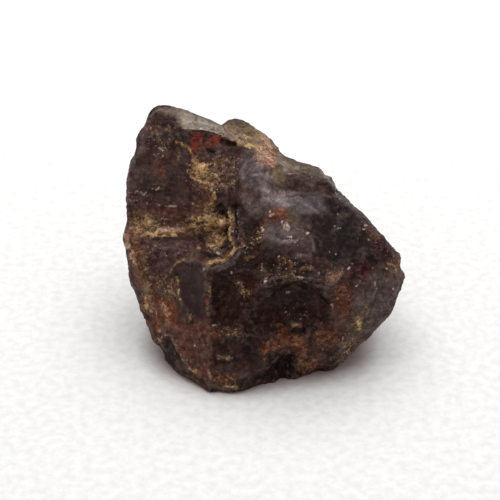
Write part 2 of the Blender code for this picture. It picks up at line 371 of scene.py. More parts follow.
def patch(name, soft, marks):
    """Paints one kind of patch; soft is the width of the edges of its areas."""
    patches[name] = paint(marks, soft)
    print(name, "covers", int((patches[name] > 0.5).sum()), "points with", len(marks), "marks")


# %% [markdown]
# ### Bare stone and painted shade
# Where the crystal broke clean it shows its own dark body. Plum is the dull purple-brown of most
# broken faces, and dust is a thin grey film on them that also paints sheen along the rims and on
# the glassy column. Charcoal is dark stone, with painted shade under the arch, in notches and along
# the foot, and deep is painted shade in the hollows. Slate is the one flat grey face, and wine is
# red stone in thin places. All but slate have wide, soft edges, because they grade into each other.

# %% Plum: dull broken faces
patch("plum", 14, [
    (0.9, 0, [(152, 113), (162, 116), (176, 116), (180, 126), (178, 134), (160, 130), (150, 124)]),  # cap
    (0.8, 0, [(240, 148), (254, 149), (258, 157), (246, 158)]),  # hump
    (0.7, 0, [(178, 148), (188, 150), (190, 176), (176, 180)]),  # upper left face
    (0.6, 0, [(214, 156), (238, 156), (238, 200), (214, 196)]),  # wall beside the column
    (0.85, 0, [(250, 182), (264, 182), (263, 206), (250, 206)]),  # glassy column
    (0.8, 0, [(284, 176), (328, 176), (332, 188), (300, 190), (284, 186)]),  # shoulder and sheen
    (0.8, 0, [(236, 206), (250, 208), (258, 226), (254, 240), (240, 252)]),  # pocket
    # ledge
    (1.0, 0, [(138, 240), (196, 238), (190, 254), (172, 262), (168, 284), (150, 282), (140, 268)]),
    (0.4, 0, [(157, 204), (196, 204), (196, 216), (184, 226), (158, 226)]),
    (0.6, 0, [(212, 334), (258, 330), (258, 352), (236, 352), (212, 350)]),  # front, left of the arch
])

# %% Dust: a thin grey film, and painted sheen along the rims and on the glassy column
patch("dust", 14, [
    # the strokes along the outline of the stone, here and below, are a painted rim light
    (0.5, 5, [(148, 117), (142, 136), (142, 148), (134, 160)]),  # cap
    (0.25, 0, [(144, 122), (160, 119), (178, 128), (174, 142), (152, 144), (143, 134)]),
    (0.4, 0, [(128, 166), (186, 166), (188, 204), (128, 206)]),  # upper left face
    (0.5, 5, [(127, 178), (127, 205), (131, 228)]),
    # on the glassy column and the forehead dust also stands for painted sheen
    (0.9, 0, [(254, 186), (272, 178), (276, 206), (268, 216), (256, 214)]),  # glassy column
    (0.9, 0, [(246, 200), (272, 202), (268, 222), (250, 226)]),
    (0.8, 0, [(264, 164), (282, 160), (286, 176), (282, 190), (268, 190)]),
    (0.5, 0, [(284, 174), (328, 176), (330, 190), (286, 189)]),  # shoulder and sheen
    (0.45, 0, [(262, 224), (300, 222), (313, 236), (316, 256), (300, 264), (268, 258)]),  # forehead
    (0.35, 3, [(340, 192), (365, 222), (385, 244), (402, 266)]),  # right slope
    # right end
    (0.9, 0, [(372, 276), (398, 272), (401, 282), (394, 300), (392, 316), (376, 330), (362, 340),
        (354, 300), (366, 290)]),
    (0.4, 0, [(344, 330), (362, 336), (350, 358), (340, 362), (336, 345)]),
])

# %% Charcoal: dark stone, and painted shade under the arch, in notches and along the foot
patch("charcoal", 14, [
    (0.5, 0, [(150, 113), (170, 112), (182, 122), (176, 134), (156, 130)]),  # cap
    (0.9, 0, [(176, 129), (190, 130), (190, 146), (178, 146)]),
    (0.5, 0, [(146, 178), (176, 178), (180, 192), (160, 202), (132, 196), (130, 186)]),  # upper left face
    (0.8, 3, [(128, 203), (130, 208)]),
    (0.8, 0, [(328, 190), (338, 192), (342, 204), (330, 206)]),  # shoulder and sheen
    (0.35, 0, [(284, 178), (328, 178), (326, 188), (286, 188)]),
    # pocket
    (0.6, 0, [(234, 236), (258, 240), (256, 262), (238, 262)]), (0.7, 6, [(240, 204), (234, 206)]),
    (0.8, 4, [(150, 238), (166, 238)]),  # ledge
    # lower left face and heel
    (0.9, 0, [(161, 337), (168, 336), (177, 350), (184, 364), (172, 360), (158, 348)]),
    (0.9, 0, [(300, 208), (322, 213), (340, 222), (336, 240), (310, 234)]),  # forehead
    (0.6, 0, [(268, 244), (310, 244), (312, 256), (268, 262)]),
    (0.9, 0, [(296, 212), (336, 214), (350, 240), (330, 262), (314, 262), (312, 232)]),
    (0.9, 0, [(320, 198), (344, 196), (366, 228), (380, 262), (366, 272), (340, 262), (322, 262),
        (312, 234)]),
    (0.7, 0, [(262, 260), (330, 260), (330, 282), (262, 284)]),  # arch
    (0.9, 0, [(262, 288), (300, 281), (328, 287), (334, 296), (326, 306), (300, 304), (280, 306),
        (258, 304)]),
    (0.7, 0, [(240, 322), (258, 322), (256, 368), (242, 366)]),  # front, left of the arch
    (0.5, 0, [(304, 306), (330, 310), (330, 326), (312, 340), (304, 330)]),  # boss
    (0.9, 0, [(326, 340), (337, 341), (337, 364), (324, 366)]),
    (0.8, 5, [(311, 330), (310, 345), (313, 360)]),
    (0.5, 0, [(212, 330), (262, 330), (262, 370), (212, 366)]),  # foot
    (0.9, 0, [(271, 351), (294, 350), (297, 360), (294, 374), (272, 374), (269, 362)]),
    # the strokes along the foot are painted shade where the stone turns under
    (0.8, 3, [(180, 371), (194, 376), (204, 383)]), (0.8, 6, [(208, 390), (226, 393), (246, 388)]),
    (0.9, 8, [(236, 384), (262, 377), (284, 376), (310, 372), (330, 364)]),
])

# %% Deep: painted shade in the hollows, under the arch and on the front
patch("deep", 14, [
    (0.3, 0, [(260, 176), (265, 176), (265, 190), (262, 206), (258, 206)]),  # glassy column
    (0.9, 0, [(242, 222), (262, 218), (262, 246), (256, 262), (242, 260)]),  # pocket
    (0.5, 0, [(300, 210), (330, 214), (336, 232), (312, 234)]),  # forehead
    (0.6, 0, [(262, 250), (280, 250), (280, 282), (262, 280)]),
    (0.6, 0, [(262, 246), (276, 247), (274, 262), (264, 262)]),
    (0.5, 0, [(262, 260), (304, 258), (310, 278), (264, 282)]),  # arch
    (0.5, 0, [(210, 264), (262, 262), (300, 280), (330, 288), (330, 326), (300, 338), (262, 338),
        (212, 330)]),
    (0.7, 0, [(258, 284), (270, 284), (262, 306), (246, 318), (244, 304)]),
    (0.8, 0, [(296, 292), (328, 292), (326, 302), (298, 302)]),
    # front, left of the arch
    (0.8, 0, [(212, 270), (232, 268), (244, 260), (262, 260), (262, 280), (240, 286), (214, 286)]),
    (0.9, 5, [(213.5, 284), (213.5, 322)]), (0.6, 4, [(213, 322), (213, 345), (214, 366)]),
    (0.6, 0, [(212, 276), (232, 272), (246, 290), (244, 330), (214, 322)]),
    (0.95, 0, [(211, 284), (232, 280), (234, 300), (232, 320), (224, 322), (211, 320)]),
    (0.9, 0, [(236, 262), (258, 262), (256, 300), (242, 310), (236, 320), (232, 300)]),
    (0.8, 7, [(247, 300), (252, 318), (252, 330)]),
    # hollow under the arch
    (0.8, 0, [(256, 306), (284, 306), (284, 330), (262, 336), (242, 332), (244, 312)]),
    (0.8, 0, [(308, 306), (328, 304), (326, 324), (308, 326)]),  # boss
    (0.4, 0, [(212, 330), (262, 330), (256, 366), (214, 364)]),  # foot
])

# %% Slate: the flat grey face
patch("slate", 7, [
    # flat grey face
    (1.0, 0, [(180, 264), (198, 261), (204, 270), (206, 290), (208, 322), (196, 318), (183, 304),
        (179, 284)]),
])

# %% Wine: red stone
patch("wine", 12, [
    # upper left face
    (0.7, 0, [(197, 199), (207, 200), (205, 208), (197, 208)]), (0.6, 4, [(187, 182), (194, 194)]),
    (0.3, 0, [(257, 206), (267, 206), (267, 214), (258, 215)]),  # glassy column
    (0.7, 0, [(213, 204), (222, 204), (222, 214), (214, 214)]),  # pocket
    # right slope
    (0.9, 0, [(352, 264), (360, 258), (370, 259), (371, 272), (362, 280), (350, 281), (348, 274)]),
    (0.9, 0, [(373, 241), (380, 241), (390, 249), (391, 258), (378, 256), (372, 248)]),
    (0.6, 0, [(332, 282), (352, 284), (350, 318), (334, 316)]),  # arch
    (0.9, 0, [(238, 266), (256, 268), (258, 284), (248, 288), (240, 282)]),  # front, left of the arch
    (0.9, 0, [(211, 304), (228, 306), (226, 321), (210, 321)]),
    (0.7, 0, [(262, 308), (284, 308), (284, 326), (266, 326)]),  # hollow under the arch
    (0.5, 0, [(262, 336), (296, 334), (300, 344), (266, 346)]),
    (0.6, 0, [(316, 332), (340, 332), (338, 348), (320, 348)]),  # boss
    (0.5, 0, [(209, 338), (228, 340), (230, 354), (212, 354)]),  # foot
])

# %% [markdown]
# ### Stains and shine
# Iron has stained some faces brick red. Sheen is a painted lilac-grey reflection on a band of crystal
# planes over the front, and gleam is a painted highlight where those planes catch the most light,
# mostly in fine strokes along them.

# %% Brick: red stains
patch("brick", 14, [
    (0.6, 0, [(196, 146), (207, 145), (207, 152), (198, 153)]),  # red window
    (0.7, 0, [(152, 164), (165, 165), (165, 176), (153, 176)]),  # upper left face
    (0.9, 0, [(188, 202), (214, 200), (212, 216), (186, 224)]),
    # ledge
    (0.8, 0, [(134, 208), (156, 206), (198, 206), (198, 218), (184, 228), (158, 228), (150, 216),
        (136, 220)]),
    # flat grey face
    (1.0, 0, [(176, 316), (192, 320), (209, 322), (210, 372), (201, 378), (188, 366), (180, 348),
        (172, 332)]),
    (0.9, 0, [(150, 300), (172, 302), (178, 334), (152, 336)]),  # lower left face and heel
    (0.6, 0, [(332, 302), (350, 302), (348, 324), (334, 326)]),  # boss
    (0.6, 0, [(303, 352), (318, 350), (330, 352), (330, 362), (310, 372), (302, 370)]),  # foot
])

# %% Sheen: painted lilac-grey reflection on the planes
patch("sheen", 10, [
    (0.6, 5, [(258, 148), (266, 151)]),  # hump
    # glassy column
    (0.85, 0, [(242, 156), (252, 158), (263, 163), (272, 169), (274, 178), (268, 188), (264, 186),
        (250, 184), (244, 190), (238, 180), (238, 165)]),
    (1.0, 4, [(269, 188), (269, 199)]), (0.5, 0, [(244, 192), (250, 192), (250, 206), (243, 204)]),
    # shoulder and sheen
    (1.0, 0, [(267, 189), (280, 191), (298, 192), (308, 202), (312, 212), (300, 211), (290, 208),
        (276, 207), (267, 203)]),
    (0.45, 0, [(298, 192), (320, 194), (330, 208), (332, 216), (318, 214), (308, 208)]),
    (1.0, 3, [(214, 267.5), (225, 265), (233, 260), (239, 253)]),  # pocket
    (0.8, 3, [(216, 270.5), (226, 268), (235, 263)]),
    (0.35, 0, [(264, 226), (296, 224), (312, 238), (314, 252), (300, 246), (268, 244)]),  # forehead
    (0.5, 0, [(296, 253), (314, 254), (312, 262), (298, 262)]),
    (0.5, 0, [(308, 266), (322, 266), (322, 278), (312, 276)]),  # arch
])

# %% Gleam: planes that catch the light
patch("gleam", 7, [
    # upper left face
    (0.25, 5, [(147, 120), (143, 132), (141, 147), (134, 160), (128, 178), (127, 204)]),
    # glassy column
    (0.6, 2.5, [(269, 190), (282, 191.5), (294, 192)]), (0.5, 2.5, [(270, 196), (278, 201)]),
    (0.95, 0, [(261, 182), (272, 187), (287, 191), (288, 203), (272, 204), (262, 200)]),
    (1.0, 4, [(269, 188), (269, 200)]), (0.9, 5, [(272, 194), (285, 195)]),
    (0.8, 4, [(273, 200), (284, 201)]), (0.8, 4, [(268, 173), (264, 184)]),
    (0.8, 3, [(254, 170), (262, 168)]), (0.7, 3, [(252, 176), (260, 173)]),
    (0.8, 4, [(246, 162), (242, 171)]), (0.6, 4, [(241, 174), (245, 179)]),
    (0.5, 4, [(244, 186), (252, 186)]), (0.7, 4, [(276, 160), (286, 164)]),
    # shoulder and sheen
    (0.5, 2.2, [(272, 194), (284, 200), (296, 205)]), (0.45, 2, [(288, 194), (302, 201), (312, 209)]),
    (0.9, 4, [(280, 206), (288, 205)]), (0.7, 3, [(289, 194), (292, 203)]),
    (0.9, 6, [(297, 198), (304, 202), (311, 207)]), (0.7, 3.5, [(312, 211), (318, 212)]),
    (0.25, 6, [(314, 198), (322, 208)]), (0.9, 4, [(325, 175), (331, 180), (335, 188)]),
    (0.7, 3, [(284, 170), (302, 167)]), (0.6, 3, [(308, 168), (326, 173)]),
    (0.5, 3, [(236, 226), (238, 238)]), (0.5, 2.5, [(237, 209), (238, 216)]),  # pocket
    (0.4, 5, [(263, 231), (270, 237)]), (0.6, 5, [(281, 242), (296, 240)]),  # forehead
    (0.5, 4, [(272, 240), (280, 240)]), (0.5, 2.5, [(311, 237), (313.5, 251)]),
    (0.4, 3.5, [(298, 256), (310, 255)]), (0.3, 3, [(302, 260), (308, 262)]),
    (0.15, 4, [(341, 195), (352, 208), (363, 221), (380, 240), (396, 256), (402, 268)]),  # right slope
    (0.4, 3, [(402, 270), (400, 282), (395, 294)]),  # right end
    (0.3, 3, [(338, 344), (346, 352)]),  # boss
])

# %% [markdown]
# ### Crust, worn places and a painted top highlight
# An earthy golden crust fills the ledge, the pocket and many small steps. Rust and ember are iron
# in it, from dull orange to bright. Olive and tan are weathered sides, and peach is places rubbed
# pale. Frost is a painted highlight on faces along the top that look up to the light. A crust is
# crumbly, so short strong strokes lie over its fainter areas, where the real one has its lumps and
# lines.

# %% Gold: the brightest crust
patch("gold", 7, [
    (0.7, 2.5, [(178, 142), (185, 145), (191, 150)]),  # red window
    (1.0, 5, [(234, 141), (246, 144.5), (262, 149)]), (0.7, 4, [(243, 136), (250, 138)]),  # hump
    (0.6, 4, [(256, 130), (262, 138)]),
    # upper left face
    (1.0, 0, [(192, 168), (198, 162), (204, 164), (212, 166), (210, 170), (202, 174), (196, 175)]),
    (0.9, 3, [(192, 176), (198, 180), (206, 182)]),
    (0.8, 3, [(206, 188), (211, 190)]), (0.8, 3, [(214, 193), (215, 198)]),  # wall beside the column
    # pocket
    (0.3, 2.5, [(212, 202), (206, 208), (201, 213)]), (1.0, 2.8, [(207, 216), (212, 217), (217, 219)]),
    (1.0, 2.8, [(211, 222), (207.5, 225), (205.5, 228), (211, 229.5)]),
    (0.9, 2.2, [(215, 222.5), (221, 221)]), (0.8, 3, [(196, 219), (203, 219)]),
    (1.0, 2.6, [(217, 239), (217.5, 245)]),
    (0.6, 0, [(195, 216), (214, 215), (227, 219), (222, 228), (208, 231), (196, 229)]),
    (0.25, 0, [(212, 234), (226, 233), (226, 244), (216, 247)]), (1.0, 3, [(217, 224), (224, 222)]),
    (0.9, 3, [(228, 212), (231, 218), (228, 223)]), (0.9, 3, [(217, 238), (218, 244)]),
    (0.8, 3, [(209, 244), (213, 246)]), (0.8, 3, [(222, 232), (228, 236)]),
    (0.9, 1.5, [(233, 214), (233, 220)]), (0.8, 1.5, [(231.5, 224), (231, 236), (233, 245), (235, 250)]),
    (0.9, 2.2, [(209, 263), (216, 261.5), (223, 260.5), (230, 256), (235, 250)]),
    # ledge
    (0.8, 0, [(143, 218), (150, 217), (153, 227), (145, 229)]), (0.8, 3, [(136, 222), (138, 230)]),
    (1.0, 3, [(145, 234), (152, 233.5), (159, 233)]), (0.9, 3, [(158, 230), (168, 230), (174, 232)]),
    (0.9, 3, [(162, 235), (176, 234.5)]), (0.8, 2.5, [(176, 231), (184, 227)]),
    (0.8, 4, [(188, 226), (198, 226)]),
    (0.8, 1.4, [(177.5, 277), (178.5, 284)]), (0.8, 1.4, [(178.5, 289), (180, 300)]),  # flat grey face
    (0.6, 3, [(192, 370), (196, 371)]), (0.6, 2, [(210, 287), (210, 296)]),
    (0.7, 3.5, [(145, 297), (147, 308)]),  # lower left face and heel
    (0.8, 3, [(358, 320), (359, 329)]),  # right end
    (0.4, 3, [(243, 290), (247, 291)]),  # front, left of the arch
    (0.7, 3, [(293, 324), (300, 325)]),  # hollow under the arch
    (0.8, 2.5, [(226, 386), (237, 387)]),  # foot
])

# %% Frost: painted highlight on the faces along the top
patch("frost", 11, [
    # cap
    (1.0, 0, [(176, 109), (186, 111), (205, 119), (226, 129), (228, 136), (214, 133), (198, 129),
        (184, 127), (178, 120)]),
    (0.6, 0, [(158, 108), (180, 107), (184, 116), (172, 117), (160, 113)]),
    (0.6, 3, [(150, 117), (154, 112), (160, 109)]),
    (0.8, 0, [(226, 128), (240, 128), (240, 142), (230, 142), (226, 136)]),  # hump
    # shoulder and sheen
    (0.65, 0, [(277, 157), (300, 163), (326, 171), (333, 178), (322, 176), (300, 173), (284, 172)]),
])

# %% Tan: weathered light brown
patch("tan", 10, [
    # hump
    (1.0, 0, [(222, 127), (240, 119), (256, 127), (268, 136), (282, 156), (262, 151), (245, 144),
        (230, 138)]),
    (0.4, 0, [(268, 162), (284, 162), (286, 180), (270, 184)]),  # glassy column
    (0.42, 0, [(270, 206), (288, 206), (290, 217), (274, 218)]),
    (0.6, 0, [(203, 260), (211, 263), (211, 272), (204, 270)]),  # pocket
    # lower left face and heel
    (0.8, 0, [(135, 268), (140, 272), (148, 284), (150, 292), (144, 292), (137, 282)]),
    (0.8, 0, [(162, 309), (170, 311), (171, 325), (164, 324)]),
])

# %% Olive: weathered green-brown
patch("olive", 12, [
    (0.9, 0, [(238, 122), (250, 122), (256, 130), (258, 142), (244, 140), (242, 130)]),  # hump
    (1.0, 0, [(231, 119), (247, 118), (252, 125), (240, 129), (232, 126)]),
    (0.6, 5, [(158, 140), (164, 148)]), (0.6, 4, [(178, 148), (179, 158)]),  # upper left face
    (0.8, 0, [(270, 164), (280, 164), (284, 178), (284, 188), (274, 188), (272, 174)]),  # glassy column
    (0.7, 0, [(286, 208), (296, 208), (298, 222), (288, 222)]),  # shoulder and sheen
    (0.5, 0, [(280, 158), (302, 163), (326, 170), (326, 175), (284, 174)]),
    (0.7, 0, [(226, 208), (234, 208), (234, 226), (228, 226)]),  # pocket
    (0.3, 0, [(196, 216), (216, 218), (214, 230), (198, 228)]),
    (0.5, 0, [(206, 250), (222, 250), (220, 254), (208, 255)]),
    (0.45, 0, [(142, 216), (156, 216), (156, 230), (144, 230)]),  # ledge
    (0.6, 0, [(162, 286), (176, 288), (174, 300), (162, 298)]),  # lower left face and heel
    (0.8, 0, [(354, 311), (364, 312), (366, 322), (362, 336), (352, 336), (350, 322)]),  # right end
    (0.5, 0, [(364, 298), (374, 300), (368, 326), (354, 348), (340, 362), (330, 360), (342, 342),
        (356, 320)]),
    (0.5, 0, [(259, 268), (267, 267), (272, 272), (268, 280), (261, 278)]),  # arch
    (0.6, 4, [(272, 326), (280, 325)]),  # hollow under the arch
    (0.7, 4, [(214, 386), (224, 389), (238, 388)]),  # foot
])

# %% Rust: dull orange iron
patch("rust", 11, [
    (0.7, 3, [(163, 168), (163, 176)]), (0.6, 3, [(192, 158), (193, 172)]),  # upper left face
    (0.6, 0, [(128, 194), (134, 194), (134, 199), (128, 199)]),
    (0.9, 0, [(272, 208), (286, 208), (288, 218), (276, 221), (270, 218)]),  # shoulder and sheen
    (0.5, 7, [(201, 212), (207, 205), (212, 200)]), (0.8, 5, [(216, 236), (220, 242)]),  # pocket
    (0.8, 4, [(214, 256), (223, 255)]), (0.7, 3, [(230, 252), (226, 254)]),
    (0.8, 3, [(241, 240), (244, 242)]),
    # ledge
    (0.7, 4, [(136, 220), (140, 232)]), (0.7, 9, [(131, 232), (136, 248), (138, 266), (142, 284)]),
    (0.9, 3, [(206, 296), (207, 304)]), (0.8, 3, [(206, 368), (207, 377)]),  # flat grey face
    (0.2, 9, [(178, 326), (184, 344), (192, 362)]),
    # lower left face and heel
    (0.95, 0, [(158, 300), (170, 301), (178, 310), (172, 316), (166, 326), (162, 324), (160, 312)]),
    (0.7, 8, [(150, 296), (156, 312), (160, 330)]), (0.8, 8, [(162, 300), (168, 314), (176, 326)]),
    (0.5, 5, [(262, 226), (269, 217), (273, 215)]), (0.6, 5, [(285, 257), (290, 266)]),  # forehead
    (0.6, 4, [(303, 268), (312, 268)]),
    (0.5, 0, [(333, 284), (346, 283), (353, 292), (351, 300), (340, 303), (332, 298)]),  # arch
    (0.8, 0, [(211, 327), (217, 327), (219, 337), (213, 339)]),  # front, left of the arch
    (0.35, 0, [(236, 284), (247, 285), (252, 294), (243, 298), (236, 292)]),
    # hollow under the arch
    (0.6, 5, [(262, 352), (269, 345), (280, 342), (289, 340)]), (0.9, 6, [(281, 331), (286, 338)]),
    (1.0, 6, [(298, 339), (302, 346)]), (0.5, 8, [(296, 338), (303, 350)]),
    (0.5, 0, [(336, 298), (350, 300), (348, 318), (336, 316)]),  # boss
    (0.6, 0, [(315, 334), (322, 327), (332, 327), (341, 333), (341, 344), (330, 349), (318, 346)]),
    (0.9, 4, [(297, 350), (298, 358)]),  # foot
    (0.5, 0, [(303, 358), (316, 357), (322, 364), (310, 371), (303, 372)]),
    (0.35, 0, [(211, 373), (236, 374), (242, 382), (230, 388), (213, 385), (207, 380)]),
])

# %% Ember: bright orange iron
patch("ember", 11, [
    (0.1, 0, [(268, 208), (280, 208), (280, 217), (270, 219)]),  # glassy column
    (0.4, 5, [(130, 240), (131, 256)]),  # ledge
    (0.7, 0, [(158, 300), (170, 300), (176, 312), (174, 322), (164, 318)]),  # lower left face and heel
    (0.4, 7, [(152, 312), (158, 326)]),
    (0.35, 0, [(335, 286), (349, 286), (350, 300), (346, 316), (338, 314)]),  # arch
    (0.3, 0, [(234, 284), (252, 285), (252, 296), (238, 294)]),  # front, left of the arch
    (0.7, 0, [(280, 328), (287, 328), (290, 338), (282, 339)]),  # hollow under the arch
    (0.4, 0, [(316, 334), (324, 328), (334, 329), (340, 336), (338, 344), (326, 347)]),  # boss
    # foot
    (0.8, 0, [(260, 352), (265, 344), (275, 337), (286, 335), (297, 336), (304, 340), (306, 350),
        (299, 351), (284, 347), (272, 350), (264, 357)]),
    (0.9, 0, [(292, 336), (304, 337), (308, 350), (302, 358), (298, 350), (294, 346)]),
    (0.7, 0, [(296, 350), (306, 352), (306, 370), (298, 372)]),
    (0.5, 0, [(302, 362), (320, 358), (320, 368), (304, 372)]),
    (0.3, 0, [(210, 374), (236, 375), (240, 384), (214, 386)]),
])

# %% Peach: rubbed, pinkish places
patch("peach", 8, [
    (1.0, 0, [(256, 150), (270, 150), (277, 158), (273, 166), (264, 164), (258, 157)]),  # hump
    (0.6, 0, [(262, 146), (274, 148), (278, 158), (270, 162)]), (0.9, 5, [(266, 139), (271, 147)]),
    (0.8, 0, [(254, 158), (264, 155), (266, 166), (258, 164)]),  # glassy column
    (0.8, 3, [(270, 216), (273, 215)]),  # shoulder and sheen
    (0.9, 3, [(219, 224), (223, 223.5)]),  # pocket
    (0.9, 5, [(126, 236), (128, 247)]), (0.6, 5, [(132, 252), (134, 264)]),  # ledge
    (0.7, 5, [(160, 230), (182, 230)]),
    (0.4, 2, [(190, 314), (190, 320)]),  # flat grey face
    (0.7, 6, [(163, 306), (168, 314)]),  # lower left face and heel
    (0.4, 2.5, [(159, 342), (163, 335), (169, 335), (176, 345), (182, 357), (188, 366)]),
    (0.8, 4.5, [(287, 225), (288, 229)]),  # forehead
    (0.5, 0, [(326, 276), (333, 272), (343, 270), (342, 277), (336, 283), (328, 283)]),  # arch
    (0.6, 2.5, [(332, 304), (333, 308)]),  # boss
    (0.4, 3, [(226, 386), (237, 387)]), (0.5, 4, [(314, 360), (317, 361)]),  # foot
    (0.6, 3, [(208, 371), (211, 377)]),
])

# %% Crust: the golden brown filling
patch("crust", 12, [
    (0.25, 0, [(144, 122), (160, 119), (176, 124), (170, 136), (152, 137), (143, 132)]),  # cap
    (0.9, 2.5, [(176, 141.5), (184, 145), (190, 149), (193, 156), (194, 164)]),  # red window
    (1.0, 4, [(238, 144), (246, 145), (256, 148)]),  # hump
    # upper left face
    (1.0, 0, [(191, 166), (197, 159), (203, 164), (211, 165), (211, 171), (204, 174), (198, 177),
        (191, 174)]),
    (0.8, 2.5, [(214, 194), (215, 198)]),  # wall beside the column
    (0.6, 0, [(192, 173), (204, 172), (216, 174), (220, 184), (212, 192), (204, 190), (196, 182)]),
    (0.3, 0, [(206, 156), (222, 154), (236, 160), (236, 190), (222, 192), (214, 176), (208, 168)]),
    # pocket
    (0.85, 0, [(184, 225), (192, 217), (216, 216), (233, 218), (234, 226), (222, 228), (210, 233),
        (198, 232), (186, 231)]),
    (0.5, 0, [(190, 218), (200, 204), (211, 197), (217, 200), (213, 214), (206, 220)]),
    (1.0, 3, [(204, 218), (214, 219)]), (1.0, 4, [(206, 229), (213, 227)]),
    (1.0, 3, [(218, 224), (224, 222)]), (0.6, 3, [(212, 202), (212, 206)]),
    (0.65, 0, [(211, 226), (222, 224), (230, 226), (229, 238), (224, 246), (216, 250), (209, 248),
        (210, 238)]),
    (0.7, 2, [(232, 214), (233, 219), (231, 226), (231, 236), (233, 244), (235, 250)]),
    (0.9, 2.8, [(208, 263), (216, 261.5), (224, 260), (230, 256), (235, 249)]),
    (0.7, 2, [(198, 245), (199, 250)]),
    (0.5, 0, [(250, 243), (254, 234), (259, 229), (263, 230), (260, 240), (254, 246)]),
    (0.6, 4, [(239, 247), (245, 244)]), (0.5, 4, [(246, 258), (253, 257)]),
    # ledge
    (0.85, 0, [(133, 214), (152, 214), (158, 222), (158, 231), (150, 236), (138, 235), (130, 229)]),
    (1.0, 4, [(144, 234), (152, 233), (158, 232)]),
    (0.95, 5, [(157, 231), (166, 229), (176, 231), (184, 229)]), (0.9, 3, [(158, 234), (176, 234.5)]),
    (0.8, 2, [(193, 250), (191, 257)]), (0.7, 2.5, [(148, 246), (149, 247)]),
    (0.7, 2.5, [(155, 246), (156, 246)]), (0.6, 0, [(130, 236), (137, 240), (138, 266), (131, 264)]),
    # flat grey face
    (0.8, 1.8, [(177.5, 277), (178, 290), (180, 300)]), (0.7, 1.5, [(209.5, 286), (210, 297)]),
    (0.5, 2, [(207, 304), (208, 316)]), (0.9, 4, [(190, 368), (197, 372)]),
    (0.9, 0, [(144, 296), (150, 297), (150, 309), (145, 311), (142, 303)]),  # lower left face and heel
    (0.6, 0, [(144, 283), (151, 283), (152, 292), (145, 292)]),
    (0.35, 0, [(154, 276), (166, 274), (177, 284), (177, 297), (166, 300), (156, 292)]),
    (0.8, 2, [(170, 274), (172, 268), (177, 263), (184, 260)]), (0.6, 3, [(165, 289), (168, 290)]),
    (0.45, 0, [(136, 246), (148, 248), (152, 286), (142, 284)]), (0.6, 3, [(158, 338), (161, 341)]),
    (0.5, 3, [(157, 324), (159, 331)]),
    (0.28, 0, [(276, 258), (286, 256), (296, 264), (300, 276), (284, 279), (274, 272)]),  # forehead
    (0.7, 4, [(304, 268), (311, 268)]),
    # right slope
    (0.6, 0, [(390, 262), (398, 258), (400, 266), (392, 272)]), (0.6, 3, [(375, 237), (376, 239)]),
    (0.25, 0, [(340, 336), (350, 332), (357, 340), (354, 356), (343, 360), (338, 350)]),  # right end
    (1.0, 5, [(358, 319), (359, 330)]),
    (0.4, 3.5, [(277, 277), (296, 277)]),  # arch
    # front, left of the arch
    (0.25, 0, [(234, 282), (242, 281), (253, 287), (252, 298), (244, 304), (234, 297)]),
    (0.5, 0, [(224, 329), (240, 329), (240, 336), (226, 336)]),
    (1.0, 5, [(293, 324), (300, 325)]),  # hollow under the arch
    (0.8, 3, [(301, 356), (304, 372)]), (0.6, 4, [(300, 362), (312, 368)]),  # foot
    (0.8, 4, [(219, 357), (226, 358), (231, 358)]),
    (0.12, 0, [(208, 372), (216, 370), (240, 374), (244, 384), (232, 391), (212, 387)]),
])

# %% [markdown]
# ### Lights and darks
# The window is clear red stone under the cap. Soot is painted shade, nearly black, in the deepest
# lines and holes, and sparks are painted glints on small bright facets. Shade and glow only lower or
# lift what lies under them. Pale holds the single chips and specks that stand out and one painted
# glint, each with a mark of its own.

# %% Window: clear red stone
patch("window", 7, [
    # red window
    (1.0, 0, [(192, 132), (205, 132), (203, 140), (198, 149), (196, 154), (191, 150), (191, 139)]),
    (1.0, 0, [(207, 140), (212, 135), (225, 136), (224, 142), (215, 145), (205, 147)]),
])

# %% Soot: painted shade, nearly black, in lines and holes
patch("soot", 7, [
    (0.9, 4, [(208, 150), (214, 152)]), (0.7, 3, [(206, 133), (203, 142)]),  # red window
    (0.6, 3, [(209, 134), (211, 136)]), (0.8, 3, [(192, 131), (205, 131), (224, 135)]),
    (1.0, 5, [(224, 141), (234, 144)]),  # hump
    (0.4, 0, [(231, 117), (247, 116), (253, 122), (246, 127), (233, 125)]),
    (0.7, 3, [(210, 166), (213, 165)]),  # wall beside the column
    # pocket
    (1.0, 3.5, [(236, 206), (236.5, 220), (236, 236)]), (0.9, 4, [(202, 251), (210, 254), (216, 255)]),
    (0.7, 3, [(197, 223.5), (203, 222.5)]), (0.6, 2.5, [(198, 230), (206, 232.5), (213, 231.5)]),
    (0.6, 2.5, [(213.5, 228), (219, 227)]), (0.7, 4, [(216, 212), (225, 214)]),
    (0.6, 4, [(227, 228), (228, 238), (225, 246)]), (0.9, 4, [(225, 212), (227, 217)]),
    (0.8, 3, [(218, 207), (221, 204), (224, 207)]), (0.8, 4, [(222, 248), (227, 248)]),
    (0.7, 3.5, [(200, 236), (204, 243)]), (0.5, 3, [(216, 238), (220, 242)]),
    (0.5, 1.8, [(213, 268.8), (224, 266.6), (233, 262)]),
    (0.7, 2, [(281, 239), (296, 238.5)]),  # forehead
    (0.8, 4, [(368, 258), (376, 262)]),  # right slope
    (0.9, 2.5, [(264, 289), (276, 284), (300, 280.5), (320, 284)]),  # arch
    (0.5, 2.5, [(320, 284), (334, 287), (344, 292)]),
    # front, left of the arch
    (0.4, 4, [(216, 330), (217, 334)]), (0.8, 0, [(211, 290), (222, 289), (222, 302), (212, 302)]),
    (0.8, 2.5, [(292, 331), (304, 332)]), (0.7, 4, [(293, 310), (304, 312)]),  # hollow under the arch
    (1.0, 0, [(268, 354), (295, 352), (297, 366), (288, 374), (270, 373)]),  # foot
    (0.6, 4, [(216, 362), (228, 363)]),
])
